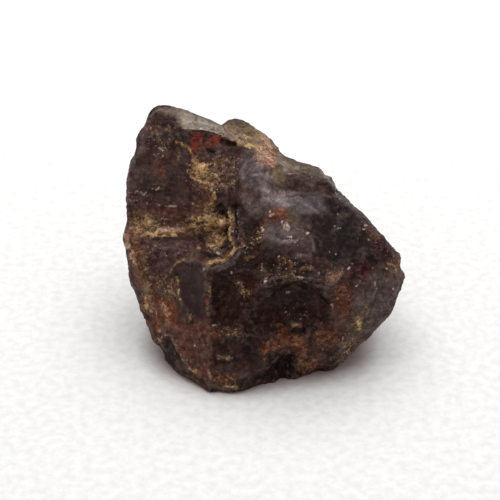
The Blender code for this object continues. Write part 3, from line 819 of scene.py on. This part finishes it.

# %% Sparks: painted glints on bright facets
patch("sparks", 14, [
    (0.5, 0, [(144, 122), (176, 122), (176, 140), (166, 160), (144, 160)]),  # cap
    (0.9, 0, [(188, 160), (212, 160), (218, 190), (200, 196), (190, 184)]),  # upper left face
    # wall beside the column
    (1.0, 0, [(208, 156), (226, 152), (238, 160), (236, 190), (216, 190), (206, 176)]),
    (0.5, 0, [(240, 190), (250, 190), (250, 206), (240, 206)]),  # glassy column
    (1.0, 0, [(250, 244), (252, 228), (264, 224), (266, 232), (258, 246)]),  # pocket
    (0.9, 0, [(238, 248), (240, 242), (250, 246), (256, 256), (246, 262)]),
    (0.8, 0, [(184, 214), (234, 210), (234, 248), (208, 248), (200, 232), (184, 230)]),
    (0.7, 0, [(130, 212), (158, 212), (184, 226), (184, 236), (140, 236)]),  # ledge
    (0.4, 0, [(140, 238), (196, 238), (196, 258), (166, 270), (146, 262)]),
    (0.5, 0, [(152, 276), (176, 274), (178, 300), (154, 304)]),  # lower left face and heel
    (0.7, 0, [(284, 222), (302, 224), (304, 246), (284, 246)]),  # forehead
    (0.6, 0, [(262, 262), (300, 254), (314, 264), (300, 280), (262, 282)]),
    (0.5, 0, [(330, 262), (352, 260), (356, 272), (338, 276)]),
    # right slope
    (0.5, 0, [(360, 220), (370, 224), (384, 240), (400, 262), (396, 272), (384, 262), (366, 238)]),
    (0.8, 0, [(338, 334), (350, 330), (360, 340), (352, 358), (342, 360)]),  # right end
    (1.0, 0, [(352, 280), (360, 280), (360, 288), (353, 288)]),
    (0.4, 0, [(232, 280), (246, 278), (256, 290), (246, 304), (232, 298)]),  # front, left of the arch
    (0.5, 0, [(212, 322), (240, 322), (240, 338), (214, 340)]),
    (0.6, 0, [(282, 306), (308, 302), (308, 320), (284, 322)]),  # hollow under the arch
    (0.3, 0, [(208, 372), (242, 372), (242, 390), (210, 388)]),  # foot
])

# %% Shade: places turned from the light
patch("shade", 12, [
    (0.2, 0, [(248, 186), (263, 186), (262, 204), (248, 204)]),  # glassy column
    (0.65, 0, [(287, 189), (318, 193), (324, 214), (290, 208)]),  # shoulder and sheen
    (0.25, 0, [(288, 174), (334, 178), (338, 188), (290, 187)]),
    (0.65, 0, [(226, 262), (262, 258), (264, 276), (244, 282), (228, 278)]),  # pocket
    (0.35, 0, [(238, 206), (250, 208), (262, 226), (256, 246), (240, 248)]),
    (0.3, 0, [(373, 241), (392, 249), (392, 262), (372, 258)]),  # right slope
    (0.45, 5, [(340, 190), (356, 205), (376, 226), (398, 252)]),
    (0.33, 0, [(330, 198), (350, 220), (382, 256), (366, 270), (330, 264), (316, 240)]),
    (0.3, 0, [(262, 260), (304, 258), (310, 278), (264, 282)]),  # arch
    (0.2, 0, [(334, 284), (352, 284), (350, 318), (336, 318)]),
    (0.45, 0, [(212, 270), (232, 268), (236, 284), (214, 286)]),  # front, left of the arch
    (0.45, 0, [(211, 298), (232, 294), (234, 324), (211, 324)]),
    (0.4, 0, [(232, 280), (254, 280), (254, 304), (234, 302)]),
    (0.3, 0, [(268, 334), (294, 334), (294, 348), (268, 350)]),  # hollow under the arch
    (0.4, 0, [(244, 304), (300, 304), (306, 330), (250, 332)]),
    (0.25, 0, [(316, 328), (342, 328), (342, 348), (318, 348)]),  # boss
    (0.5, 0, [(252, 340), (267, 342), (267, 364), (254, 364)]),  # foot
    (0.4, 0, [(296, 352), (318, 350), (332, 356), (322, 368), (300, 374)]),
    (0.35, 0, [(234, 364), (268, 362), (268, 380), (236, 384)]),
])

# %% Glow: places turned to the light
patch("glow", 12, [
    (0.3, 0, [(236, 138), (264, 146), (278, 158), (270, 166), (256, 156)]),  # hump
    (0.3, 0, [(196, 158), (210, 160), (210, 176), (194, 176)]),  # upper left face
    (0.35, 0, [(208, 154), (238, 154), (240, 188), (210, 192)]),  # wall beside the column
    (0.55, 0, [(264, 164), (284, 162), (289, 182), (266, 186)]),  # glassy column
    (0.95, 0, [(267, 186), (283, 187), (284, 203), (266, 204)]),
    (0.8, 0, [(248, 203), (266, 204), (266, 222), (250, 222)]),
    (0.85, 0, [(192, 214), (231, 213), (230, 230), (194, 231)]),  # pocket
    (0.35, 0, [(208, 230), (224, 229), (224, 248), (208, 249)]),
    (0.25, 6, [(208, 262), (222, 260), (234, 250)]),
    (0.25, 0, [(266, 238), (300, 238), (302, 254), (266, 254)]),  # forehead
])

# %% Pale: chips and specks, and one painted glint
patch("pale", 7, [
    (0.9, 1.5, [(182, 127.3), (200, 128.8), (214, 131.5), (225, 136)]),  # cap
    (0.9, 2.2, [(237, 142)]),  # hump
    # upper left face; the first two marks are a painted glint
    (1.0, 2.2, [(170, 206), (176, 206)]), (0.5, 1, [(163, 206), (170, 206.3)]), (0.8, 2, [(163, 156)]),
    (0.7, 2, [(159, 148), (162, 150)]), (0.7, 1.6, [(186, 181)]),
    (0.5, 1.3, [(128, 192.5), (142, 192.5)]), (0.5, 1.3, [(128, 200), (137, 200.3)]),
    (0.6, 2, [(152, 189)]), (0.7, 2, [(156, 190), (159, 188)]), (0.6, 2, [(147, 191), (144, 195)]),
    (0.6, 2, [(147, 196)]), (0.5, 2, [(137, 191)]), (0.5, 2, [(147, 203)]),
    (0.5, 2, [(157, 203), (159, 205)]), (0.7, 2, [(193, 204)]),
    (0.9, 2, [(270, 210), (270, 212)]), (0.6, 2, [(245, 197)]),  # glassy column
    # shoulder and sheen
    (0.7, 2, [(340, 199)]), (0.6, 2, [(338, 207)]), (0.5, 2, [(338, 214)]), (0.7, 2, [(312, 177)]),
    (0.6, 1.3, [(286, 173.5), (298, 173.5)]), (0.5, 1.3, [(300, 172), (308, 171)]),
    (0.8, 1.7, [(203.5, 269), (204, 270)]), (0.6, 1.6, [(208, 268)]),  # pocket
    (1.0, 1.8, [(216, 251.5), (219, 251.5)]), (0.7, 1.8, [(233, 231.3), (235, 231.3)]),
    (0.5, 2, [(237, 210), (237.5, 222)]),
    (0.6, 1.3, [(158, 218.5), (168, 218.5)]),  # ledge
    (0.7, 1.6, [(187, 359), (187, 365)]), (0.6, 1.6, [(195, 344), (195, 346)]),  # flat grey face
    (0.5, 1.5, [(203, 345), (208, 345)]),
    (0.5, 1.3, [(156, 311), (156.5, 316)]),  # lower left face and heel
    # forehead
    (0.8, 1.6, [(281.5, 220.5), (282, 223), (284.5, 228.5)]), (0.4, 3, [(287, 225), (288, 229)]),
    (0.8, 1.8, [(306, 233), (308, 233)]), (0.5, 1.5, [(302, 226.5)]),
    (1.0, 1.6, [(288, 236.5), (291, 236.5)]), (1.0, 2.2, [(262, 228), (263, 230)]),
    (0.6, 2, [(335, 226)]), (0.5, 2, [(338, 228), (341, 228)]), (0.7, 2, [(329, 252)]),
    (0.7, 2, [(336, 254)]), (0.5, 2, [(336, 264)]), (0.8, 2, [(279, 256.5)]), (0.7, 2, [(295.5, 262.5)]),
    (0.5, 1.8, [(262, 263), (262, 270)]),
    # right slope
    (0.7, 2, [(348, 269), (349, 268)]), (0.7, 2, [(352, 264)]), (1.0, 2, [(365, 225), (367, 225)]),
    (0.5, 1.6, [(362, 229), (366, 229)]), (0.5, 2.5, [(358, 239)]), (0.9, 1.8, [(368.5, 239.5)]),
    (0.5, 2, [(373, 268)]), (0.7, 2, [(387, 268)]), (0.8, 2.2, [(395, 270)]), (0.6, 2, [(394, 256)]),
    # right end
    (0.7, 1.6, [(356, 286), (358, 285)]), (0.7, 2, [(375, 282), (375, 285)]), (0.7, 2, [(376, 288)]),
    (0.7, 2, [(393, 289)]),
    (0.6, 2.5, [(266, 278), (265.5, 283)]), (0.6, 1.8, [(297, 276.5), (303, 277.5)]),  # arch
    (0.6, 2.5, [(319, 273)]), (0.5, 3, [(285, 292), (289, 292)]),
    (0.7, 1.6, [(213, 325), (217, 324.5)]), (0.9, 2, [(239, 283)]),  # front, left of the arch
    (0.6, 2.2, [(231, 271), (231.5, 273)]),
    (0.9, 1.8, [(295.5, 324)]), (0.7, 2, [(285.5, 312)]), (0.9, 2, [(300, 319)]),  # hollow under the arch
    # boss
    (0.7, 2, [(305, 349)]), (0.6, 2, [(323, 351)]), (0.6, 1.8, [(343, 338)]), (0.6, 1.8, [(342, 344)]),
    (0.5, 2, [(303, 334)]),
    (0.7, 1.7, [(293, 357), (293, 358)]), (0.7, 1.7, [(305, 355), (305.5, 357)]),  # foot
    (0.5, 1.6, [(287, 362)]), (0.5, 1.6, [(288, 365)]),
])

# %% [markdown]
# ## Edges and hollows
# Chips wear an edge pale and crust gathers in a hollow. A point that stands out from the average
# of its neighbours is on an edge, and one that lies below it is in a hollow. The renderer could
# find edges too, but numbers on the points stay the same in every view.

# %% Edges and hollows
CRUST_HEIGHT, CRUST_SIZE = 0.05, 0.35      # mm
NEIGHBOUR_STEPS = 8                        # how far the average reaches, in edges of the skin
EDGE_HEIGHT = 0.035                        # mm; a point this far out is fully on an edge

relief += CRUST_HEIGHT * patches["crust"] * ripples(CRUST_SIZE)
lift(relief)
low, high = (np.array(corner) / MM for corner in solid_box)
places = np.clip(read("co"), low, high)
ends = np.empty(len(stone.data.edges) * 2, int)
stone.data.edges.foreach_get("vertices", ends)
ends = ends.reshape(-1, 2)
meeting = np.bincount(ends.ravel(), minlength=len(places))


def spread(values):
    """Every point's value averaged with its neighbours'."""
    total = np.zeros_like(values)
    for here, there in ((0, 1), (1, 0)):
        for column in range(values.shape[1]):
            total[:, column] += np.bincount(ends[:, here], values[ends[:, there], column], len(places))
    return (values + total) / (meeting[:, None] + 1)


average = places
for turn in range(NEIGHBOUR_STEPS):
    average = spread(average)
standing_out = ((places - average) * read("normal")).sum(axis=1)
standing_out = spread(standing_out[:, None])[:, 0]
patches["edge"] = np.clip(standing_out / EDGE_HEIGHT, 0, 1)
patches["hollow"] = np.clip(-standing_out / EDGE_HEIGHT, 0, 1)
print("edge and hollow:", patches["edge"].mean().round(3), patches["hollow"].mean().round(3))

# %% [markdown]
# ## The hidden sides
# The camera sees less than half of the stone. The rest has the same minerals: crust in the
# hollows, and patches of the other kinds where slow noise puts them.

# %% The hidden sides
# kind, size in mm, how high the noise must be there, strength
HIDDEN = (
    # sheen and sparks are a painted reflection and painted glints here as well
    ("plum", 5.0, 0.05, 0.8), ("dust", 3.6, 0.15, 0.7), ("charcoal", 4.2, 0.08, 0.8),
    ("wine", 3.0, 0.34, 0.8), ("sheen", 3.2, 0.26, 0.6), ("rust", 2.6, 0.52, 0.7),
    ("brick", 3.4, 0.38, 0.7), ("crust", 2.4, 0.42, 0.7), ("olive", 2.2, 0.52, 0.7),
    ("sparks", 2.6, 0.30, 0.6),
)
HOLLOW_SHARE = 0.25                        # how much more crust a hollow gathers
STEEP = 6                                  # how soon a patch is full inside its edge
for name, size, threshold, strength in HIDDEN:
    own_place = len(name) * 17.3 + ord(name[0])    # each kind has noise of its own
    slow = ripples(size, 3, own_place)
    if name == "crust":
        slow += HOLLOW_SHARE * patches["hollow"]
    cover = np.clip((slow - threshold) * STEEP + 0.5, 0, 1)
    patches[name] = np.maximum(patches[name], hidden * strength * cover)
print("hidden points:", int((hidden > 0.5).sum()))

# %% [markdown]
# ## The finished skin
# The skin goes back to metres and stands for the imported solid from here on. All that was painted
# goes with it as point attributes, which a material can read by name.

# %% The finished skin
stone.data.vertices.foreach_set("co", (places * MM).ravel())
stone.data.update()
stone.data.shade_smooth()
patches["level lines"], patches["upright lines"] = level_lines, upright_lines
patches["glassy"] = glassy
for name, cover in patches.items():
    stone.data.attributes.new(name, "FLOAT", "POINT").data.foreach_set("value", cover.astype(np.float32))
print("attributes:", len(patches))

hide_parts("garnet_crystal")
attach(stone, "root")

# %% [markdown]
# ## The material
# All finishes are one material, because the kinds of mineral grade into each other. The shader
# editor could build it node by node, but a few short helpers keep the same tree readable. Each
# adds one node to the material begun last and gives back its output.

# %% Helpers that add nodes
TINT_STOPS = (0.12, 0.38, 0.62, 0.88)      # where the four tints of a ramp stand


def begin_material(name):
    """A new node material, its nodes, its links and its shader."""
    made = bpy.data.materials.new(name)
    made.use_nodes = True
    nodes = made.node_tree.nodes
    return made, nodes, made.node_tree.links, nodes["Principled BSDF"]


def wire(value, socket):
    """Puts a number, a colour or another node's output on a socket."""
    if isinstance(value, bpy.types.NodeSocket):
        links.new(value, socket)
    elif isinstance(value, tuple):
        socket.default_value = (*value, 1.0)
    else:
        socket.default_value = value


def calc(operation, first, second=0.0):
    """Arithmetic on two values."""
    made = shader_nodes.new("ShaderNodeMath")
    made.operation = operation
    wire(first, made.inputs[0])
    wire(second, made.inputs[1])
    return made.outputs[0]


def times(first, second):
    return calc("MULTIPLY", first, second)


def plus(first, second):
    return calc("ADD", first, second)


def blend(share, first, second, way="MIX"):
    """Two colours mixed; sockets 6, 7 and 2 are the ones that this node keeps for colours."""
    made = shader_nodes.new("ShaderNodeMix")
    made.data_type, made.blend_type = "RGBA", way
    wire(share, made.inputs["Factor"])
    wire(first, made.inputs[6])
    wire(second, made.inputs[7])
    return made.outputs[2]


def remap(value, low, high, to_low=0.0, to_high=1.0, smooth=True):
    """A value taken from one range to another."""
    made = shader_nodes.new("ShaderNodeMapRange")
    made.interpolation_type = "SMOOTHSTEP" if smooth else "LINEAR"
    for index, given in enumerate((value, low, high, to_low, to_high)):
        wire(given, made.inputs[index])
    return made.outputs[0]


def tints(tone, colours, places=TINT_STOPS):
    """A ramp from the darkest tint to the palest."""
    made = shader_nodes.new("ShaderNodeValToRGB")
    wire(tone, made.inputs[0])
    stops = made.color_ramp.elements
    while len(stops) < len(colours):
        stops.new(0.5)
    for stop, place, tint in zip(stops, places, colours):
        stop.position, stop.color = place, (*tint, 1.0)
    return made.outputs[0]


def bumped(height, strength, depth):
    """A normal turned by the slopes of a height; depth in mm."""
    made = shader_nodes.new("ShaderNodeBump")
    made.inputs["Distance"].default_value = depth * MM
    made.inputs["Strength"].default_value = strength
    links.new(height, made.inputs["Height"])
    return made.outputs["Normal"]


# %% Helpers for patterns
material, shader_nodes, links, shader = begin_material("garnet")
coordinates = shader_nodes.new("ShaderNodeTexCoord").outputs["Object"]


def painted(name):
    """What was painted on the skin under this name."""
    made = shader_nodes.new("ShaderNodeAttribute")
    made.attribute_name = name
    return made.outputs["Fac"]


def in_mm(stretch=(1, 1, 1)):
    """The place on the stone in mm, pressed together where stretch is large."""
    made = shader_nodes.new("ShaderNodeMapping")
    made.inputs["Scale"].default_value = tuple(part / MM for part in stretch)
    links.new(coordinates, made.inputs["Vector"])
    return made.outputs["Vector"]


def clouds(scale, detail, roughness=0.5, distortion=0.0, vector=None, output="Fac"):
    """Cloudy noise, with scale in waves to the mm."""
    made = shader_nodes.new("ShaderNodeTexNoise")
    links.new(vector or mm, made.inputs["Vector"])
    made.inputs["Scale"].default_value = scale
    made.inputs["Detail"].default_value = detail
    made.inputs["Roughness"].default_value = roughness
    made.inputs["Distortion"].default_value = distortion
    return made.outputs[output]


def grains(scale):
    """A random tone for each cell of a Voronoi pattern, as crushed mineral has, and the gap
    to the cell's middle."""
    made = shader_nodes.new("ShaderNodeTexVoronoi")
    links.new(shaken, made.inputs["Vector"])
    made.inputs["Scale"].default_value = scale
    parts = shader_nodes.new("ShaderNodeSeparateColor")
    links.new(made.outputs["Color"], parts.inputs[0])
    return parts.outputs[0], made.outputs["Distance"]


mm = in_mm()
print("helpers ready, nodes so far:", len(shader_nodes))

# %% [markdown]
# ## Grain
# Under a lens the stone is mottled at every size from a millimetre down, and its crust is a
# packed mass of angular grains. Noise gives the mottle and Voronoi cells the grains. Shaking
# the place a little before it is looked up keeps the cells from having straight sides.

# %% Grain
SHAKE = 0.35                               # mm

shifted = shader_nodes.new("ShaderNodeVectorMath")
shifted.operation = "MULTIPLY_ADD"
links.new(clouds(4.0, 2, output="Color"), shifted.inputs[0])
shifted.inputs[1].default_value = (SHAKE,) * 3
links.new(mm, shifted.inputs[2])
shaken = shifted.outputs[0]

middle = clouds(1.1, 4, 0.6, 0.4)
fine = clouds(3.0, 3, 0.6)
grain = clouds(6.0, 2)
ragged_noise = calc("SUBTRACT", clouds(2.2, 5, 0.72, 0.3), 0.5)
soft_tone = remap(clouds(2.0, 5, 0.66, 0.3), 0.30, 0.70, smooth=False)
body_tone = remap(clouds(0.9, 7, 0.68, 0.3), 0.28, 0.74, smooth=False)
small_grain, small_gap = grains(6.5)
large_grain = grains(3.6)[0]
cell = plus(times(small_grain, 0.6), times(large_grain, 0.4))
mottle = remap(clouds(2.3, 4, 0.68, 0.3), 0.32, 0.68, smooth=False)
gritty_tone = plus(times(mottle, 0.62), times(cell, 0.38))
clump = remap(clouds(1.5, 3, 0.6, 0.3), 0.34, 0.56, 0.5, 1.0)
print("nodes with the grain:", len(shader_nodes))

# %% [markdown]
# ## The body and the finishes
# The body is dark red-brown. Each finish is laid over it in turn, as a painter works from the
# ground to the lights: first the dull kinds, then stains and crusts, and last the window, the
# soot and the pale chips. A finish has four tints from dark to pale, so it is never one flat
# colour. Noise breaks its edge, and grit breaks the edge of the crusts as well. The crusts are
# thinned too: they are stronger in some clumps, places or grains than in others.

# %% The body
BODY = ((0.010, 0.004, 0.004), (0.040, 0.019, 0.016), (0.073, 0.040, 0.035), (0.16, 0.105, 0.082))
UNDER_CRUST = ((0.030, 0.012, 0.008), (0.070, 0.032, 0.018), (0.12, 0.060, 0.032), (0.19, 0.105, 0.056))

colour = tints(plus(times(body_tone, 0.75), times(cell, 0.25)), BODY)
under_crust = times(remap(plus(painted("crust"), ragged_noise), 0.02, 0.55), 0.7)
colour = blend(under_crust, colour, tints(soft_tone, UNDER_CRUST))
roughness = remap(middle, 0.3, 0.7, 0.30, 0.55)
print("nodes with the body:", len(shader_nodes))

# %% The finishes
# name, how ragged its edge, how soft its edge, roughness, tone, tints from dark to pale
FINISHES = (
    ("plum", 1.2, 0.45, 0.40, soft_tone,
     ((0.016, 0.006, 0.006), (0.044, 0.020, 0.020), (0.078, 0.040, 0.039), (0.13, 0.082, 0.072))),
    # dust is a thin grey film, with painted sheen along the rims and on the glassy column
    ("dust", 1.0, 0.45, 0.50, soft_tone,
     ((0.026, 0.016, 0.015), (0.066, 0.047, 0.044), (0.100, 0.074, 0.071), (0.17, 0.135, 0.120))),
    # charcoal is dark stone, and painted shade under the arch, in notches and along the foot
    ("charcoal", 0.8, 0.45, 0.35, soft_tone,
     ((0.005, 0.003, 0.003), (0.013, 0.007, 0.007), (0.022, 0.013, 0.012), (0.048, 0.031, 0.028))),
    # deep is painted shade in hollows, under the arch and on the front
    ("deep", 0.9, 0.50, 0.30, soft_tone,
     ((0.003, 0.001, 0.001), (0.009, 0.002, 0.002), (0.020, 0.006, 0.005), (0.046, 0.021, 0.016))),
    ("slate", 0.4, 0.15, 0.30, soft_tone,
     ((0.027, 0.0140, 0.0132), (0.033, 0.0175, 0.0165), (0.040, 0.021, 0.020), (0.058, 0.034, 0.032))),
    ("wine", 0.7, 0.45, 0.20, soft_tone,
     ((0.010, 0.002, 0.002), (0.024, 0.005, 0.006), (0.042, 0.009, 0.011), (0.070, 0.022, 0.022))),
    ("brick", 1.0, 0.45, 0.45, soft_tone,
     ((0.034, 0.013, 0.009), (0.084, 0.034, 0.025), (0.135, 0.060, 0.045), (0.21, 0.115, 0.085))),
    # sheen is a painted reflection and gleam a painted highlight
    ("sheen", 0.7, 0.35, 0.30, soft_tone,
     ((0.044, 0.029, 0.029), (0.078, 0.057, 0.058), (0.120, 0.092, 0.095), (0.20, 0.165, 0.165))),
    ("gleam", 0.8, 0.45, 0.25, soft_tone,
     ((0.09, 0.068, 0.068), (0.15, 0.122, 0.124), (0.22, 0.188, 0.192), (0.34, 0.30, 0.30))),
    # frost is a painted highlight on the faces along the top
    ("frost", 0.5, 0.30, 0.45, soft_tone,
     ((0.14, 0.115, 0.085), (0.23, 0.195, 0.155), (0.31, 0.27, 0.22), (0.44, 0.39, 0.32))),
    ("tan", 0.5, 0.35, 0.55, soft_tone,
     ((0.11, 0.066, 0.040), (0.19, 0.125, 0.080), (0.27, 0.195, 0.130), (0.38, 0.29, 0.20))),
    ("olive", 1.3, 0.40, 0.60, gritty_tone,
     ((0.030, 0.020, 0.011), (0.080, 0.060, 0.034), (0.15, 0.118, 0.068), (0.28, 0.23, 0.14))),
    ("rust", 1.3, 0.40, 0.50, gritty_tone,
     ((0.034, 0.010, 0.005), (0.105, 0.033, 0.016), (0.19, 0.066, 0.032), (0.38, 0.17, 0.095))),
    ("ember", 1.3, 0.45, 0.55, gritty_tone,
     ((0.036, 0.008, 0.003), (0.118, 0.030, 0.010), (0.25, 0.080, 0.030), (0.56, 0.26, 0.13))),
    ("crust", 1.7, 0.40, 0.60, gritty_tone,
     ((0.040, 0.019, 0.009), (0.140, 0.076, 0.036), (0.32, 0.200, 0.098), (0.70, 0.51, 0.30))),
    ("gold", 1.5, 0.45, 0.60, gritty_tone,
     ((0.15, 0.080, 0.031), (0.34, 0.205, 0.083), (0.57, 0.380, 0.170), (0.92, 0.70, 0.40))),
    ("peach", 1.2, 0.35, 0.50, gritty_tone,
     ((0.14, 0.064, 0.040), (0.29, 0.155, 0.100), (0.46, 0.29, 0.20), (0.70, 0.52, 0.40))),
    ("window", 0.5, 0.30, 0.20, soft_tone,
     ((0.050, 0.009, 0.006), (0.110, 0.018, 0.011), (0.170, 0.030, 0.018), (0.23, 0.060, 0.036))),
    # soot is painted shade, nearly black, in lines and holes
    ("soot", 1.0, 0.40, 0.45, soft_tone,
     ((0.004, 0.002, 0.002), (0.010, 0.005, 0.004), (0.016, 0.008, 0.007), (0.030, 0.018, 0.015))),
    # pale also holds one painted glint
    ("pale", 0.9, 0.30, 0.30, gritty_tone,
     ((0.18, 0.13, 0.105), (0.30, 0.235, 0.20), (0.46, 0.38, 0.335), (0.76, 0.68, 0.62))),
)
EDGE_AT = 0.45                             # the painted strength where a patch's edge lies
GRIT = 0.35                                # how much the grains break the edge of a crust
some_grains = calc("MAXIMUM", remap(large_grain, 0.32, 0.62, 0.32, 1.0), remap(small_grain, 0.5, 0.8))
some_places = remap(fine, 0.37, 0.55, 0.22, 1.0)
THINNED = {"crust": clump, "rust": clump, "olive": clump, "ember": some_places, "gold": some_grains}

for name, ragged, soft, gloss, tone, colours in FINISHES:
    cover = painted(name)
    edge_noise = times(ragged_noise, ragged)
    if tone == gritty_tone:
        edge_noise = plus(edge_noise, times(calc("SUBTRACT", small_grain, 0.5), GRIT))
    share = remap(plus(cover, edge_noise), EDGE_AT - soft, EDGE_AT + soft)
    share = times(share, remap(cover, 0.02, 0.25))
    if name in THINNED:
        share = times(share, THINNED[name])
    colour = blend(share, colour, tints(tone, colours))
    roughness = remap(share, 0.0, 1.0, roughness, gloss, False)
print("finishes:", len(FINISHES), "nodes:", len(shader_nodes))

# %% [markdown]
# ## Sparks, lines, wear and flecks
# Small facets in the stone catch the light as sparks. Scored faces have pale and dark lines
# that run along the scoring. Edges are worn pale, crust gathers in hollows, and a few grains
# anywhere are pale flecks. All are thin, so they are mixed over the finishes, never solid.

# %% Sparks
# painted glints where small facets catch the light
spark = times(remap(small_gap, 0.42, 0.16), remap(small_grain, 0.70, 0.78))
spark = times(spark, remap(plus(painted("sparks"), ragged_noise), 0.15, 0.60))
spark_colour = blend(large_grain, (0.42, 0.30, 0.20), (0.66, 0.58, 0.54))
colour = blend(times(spark, 0.75), colour, spark_colour)
print("nodes with the sparks:", len(shader_nodes))

# %% Fine lines, wear on the edges, crust in the hollows
PALE_LINE, DARK_LINE = (0.16, 0.090, 0.066), (0.012, 0.005, 0.004)
WORN, FILLED, FLECK = (0.20, 0.14, 0.11), (0.13, 0.075, 0.040), (0.34, 0.25, 0.19)

upright = remap(painted("upright lines"), 0.2, 0.8)
streaks = blend(upright, clouds(1.0, 4, 0.7, 0.0, in_mm((0.6, 0.6, 5))),
                clouds(1.0, 4, 0.7, 0.0, in_mm((5, 5, 0.5))))
streaky = calc("MAXIMUM", painted("upright lines"), painted("level lines"))
colour = blend(times(remap(streaks, 0.54, 0.72), times(streaky, 0.62)), colour, PALE_LINE)
colour = blend(times(remap(streaks, 0.46, 0.30), times(streaky, 0.75)), colour, DARK_LINE)
worn = times(painted("edge"), remap(fine, 0.40, 0.62))
colour = blend(times(worn, 0.40), colour, WORN)
filled = times(calc("SUBTRACT", painted("hollow"), painted("soot")), remap(middle, 0.45, 0.65))
colour = blend(calc("MAXIMUM", times(filled, 0.35), 0.0), colour, FILLED)
fleck = times(remap(small_gap, 0.34, 0.12), remap(small_grain, 0.93, 0.96))
fleck = times(fleck, remap(middle, 0.44, 0.58))
colour = blend(times(fleck, 0.6), colour, FLECK)
print("nodes with the lines and wear:", len(shader_nodes))

# %% [markdown]
# ## Glow, shade and hue
# Crystal planes too small to model turn some places towards the light and others away from it.
# Glow and shade, painted like the patches, lift or lower the colour there. Slow clouds then
# lead the whole stone a little towards red or grey, as the real one drifts. Both multiply the
# colour, which keeps its pattern.

# %% Glow, shade and hue
GLOW, SHADE = 0.5, -0.65
RED_CAST, GREY_CAST = (0.97, 0.84, 0.83), (0.875, 0.875, 0.895)

strength = plus(plus(times(painted("glow"), GLOW), times(painted("shade"), SHADE)), 1.0)
grey = shader_nodes.new("ShaderNodeCombineColor")
for channel in grey.inputs:
    links.new(strength, channel)
colour = blend(1.0, colour, grey.outputs[0], "MULTIPLY")
cast = blend(remap(clouds(0.75, 3, 0.6, 0.4), 0.36, 0.64), RED_CAST, GREY_CAST)
colour = blend(1.0, colour, cast, "MULTIPLY")
print("nodes with glow and shade:", len(shader_nodes))

# %% [markdown]
# ## Gloss
# Garnet bends light strongly, so its index is high. Dust and fine scratches take most of its
# shine, so the specular level is low, and only the glassy faces keep some, as a thin coat. The
# finest grain is a bump, because it is too small for the skin, and it is weaker where the stone
# is glassy.

# %% Gloss
BUMP_STRENGTH, BUMP_DEPTH = 0.7, 0.12      # the depth in mm
GLASSY_BUMP, GLASSY_COAT = 0.3, 0.16

gritty = times(times(cell, 0.35), painted("crust"))
height = plus(plus(fine, times(grain, 0.5)), gritty)
height = times(height, remap(painted("glassy"), 0, 1, 1.0, GLASSY_BUMP))
links.new(bumped(height, BUMP_STRENGTH, BUMP_DEPTH), shader.inputs["Normal"])
links.new(colour, shader.inputs["Base Color"])
links.new(roughness, shader.inputs["Roughness"])
links.new(times(painted("glassy"), GLASSY_COAT), shader.inputs["Coat Weight"])
shader.inputs["Coat Roughness"].default_value = 0.25
shader.inputs["IOR"].default_value = 1.78
shader.inputs["Specular IOR Level"].default_value = 0.04
shader.inputs["Specular Tint"].default_value = (1.0, 0.86, 0.83, 1.0)
stone.data.materials.clear()
stone.data.materials.append(material)
print("nodes in the stone's material:", len(shader_nodes))

# %% [markdown]
# ## The cloth
# The stone lies on plain pale felt. Its nap is far finer than the stone, so a flat sheet with a
# mottled colour and a fine bump is enough. A painted contact shadow makes the cloth dark and warm
# in a narrow band at the stone's foot: an ambient occlusion node finds that band.

# %% The cloth
CLOTH_HALF = 0.6                           # m
NAP_SCALE = 1400                           # waves to the metre
SHADOW_REACH = 2.4                            # mm; how far from the stone the dark band goes
NAP_STRENGTH, NAP_DEPTH = 0.25, 0.2        # the depth in mm
FELT, FELT_STOPS = ((0.90, 0.89, 0.872), (0.99, 0.987, 0.98)), (0.34, 0.62)
# painted contact shadow: the tints the felt is multiplied by near the stone
CONTACT_SHADOW, CONTACT_SHADOW_STOPS = ((0.50, 0.40, 0.385), (1.0, 1.0, 1.0)), (0.35, 0.93)

shape = bmesh.new()
bmesh.ops.create_grid(shape, x_segments=1, y_segments=1, size=CLOTH_HALF)
cloth_mesh = bpy.data.meshes.new("cloth")
shape.to_mesh(cloth_mesh)
shape.free()
cloth = bpy.data.objects.new("cloth", cloth_mesh)
bpy.context.scene.collection.objects.link(cloth)

# the helpers build in the felt from here on
felt, shader_nodes, links, shader = begin_material("felt")
felt_place = shader_nodes.new("ShaderNodeTexCoord").outputs["Object"]
nap = clouds(NAP_SCALE, 4, vector=felt_place)
near = shader_nodes.new("ShaderNodeAmbientOcclusion")
near.samples = 16
near.inputs["Distance"].default_value = SHADOW_REACH * MM
# painted contact shadow: darker and warmer where the stone is near
band = tints(near.outputs["AO"], CONTACT_SHADOW, CONTACT_SHADOW_STOPS)
felt_colour = blend(1.0, tints(nap, FELT, FELT_STOPS), band, "MULTIPLY")
links.new(felt_colour, shader.inputs["Base Color"])
links.new(bumped(nap, NAP_STRENGTH, NAP_DEPTH), shader.inputs["Normal"])
shader.inputs["Roughness"].default_value = 1.0
shader.inputs["Specular IOR Level"].default_value = 0.0
cloth.data.materials.append(felt)
print("nodes in the felt:", len(shader_nodes))

# %% [markdown]
# ## The light
# A bright, even surround shows all the colours, and one large soft light overhead, a little
# behind the stone, gives its upper faces their shine and puts the soft shadow at its foot.

# %% The light
SURROUND = 0.53
LIGHT_AT, LIGHT_SIZE, LIGHT_POWER = Vector((-2, 57, 170)), 190, 0.25       # mm, mm and watts

world = bpy.data.worlds.new("surround")
bpy.context.scene.world = world
world.use_nodes = True
background = world.node_tree.nodes["Background"]
background.inputs["Color"].default_value = (1, 1, 1, 1)
background.inputs["Strength"].default_value = SURROUND
light_data = bpy.data.lights.new("overhead", "AREA")
light_data.size = LIGHT_SIZE * MM
light_data.energy = LIGHT_POWER
overhead = bpy.data.objects.new("overhead", light_data)
bpy.context.scene.collection.objects.link(overhead)
overhead.location = LIGHT_AT * MM
overhead.rotation_euler = (LIGHT_AT - TARGET).to_track_quat("Z", "Y").to_euler()
bpy.context.scene.view_settings.view_transform = "Standard"
print("light from the stone, mm:", round((LIGHT_AT - TARGET).length))
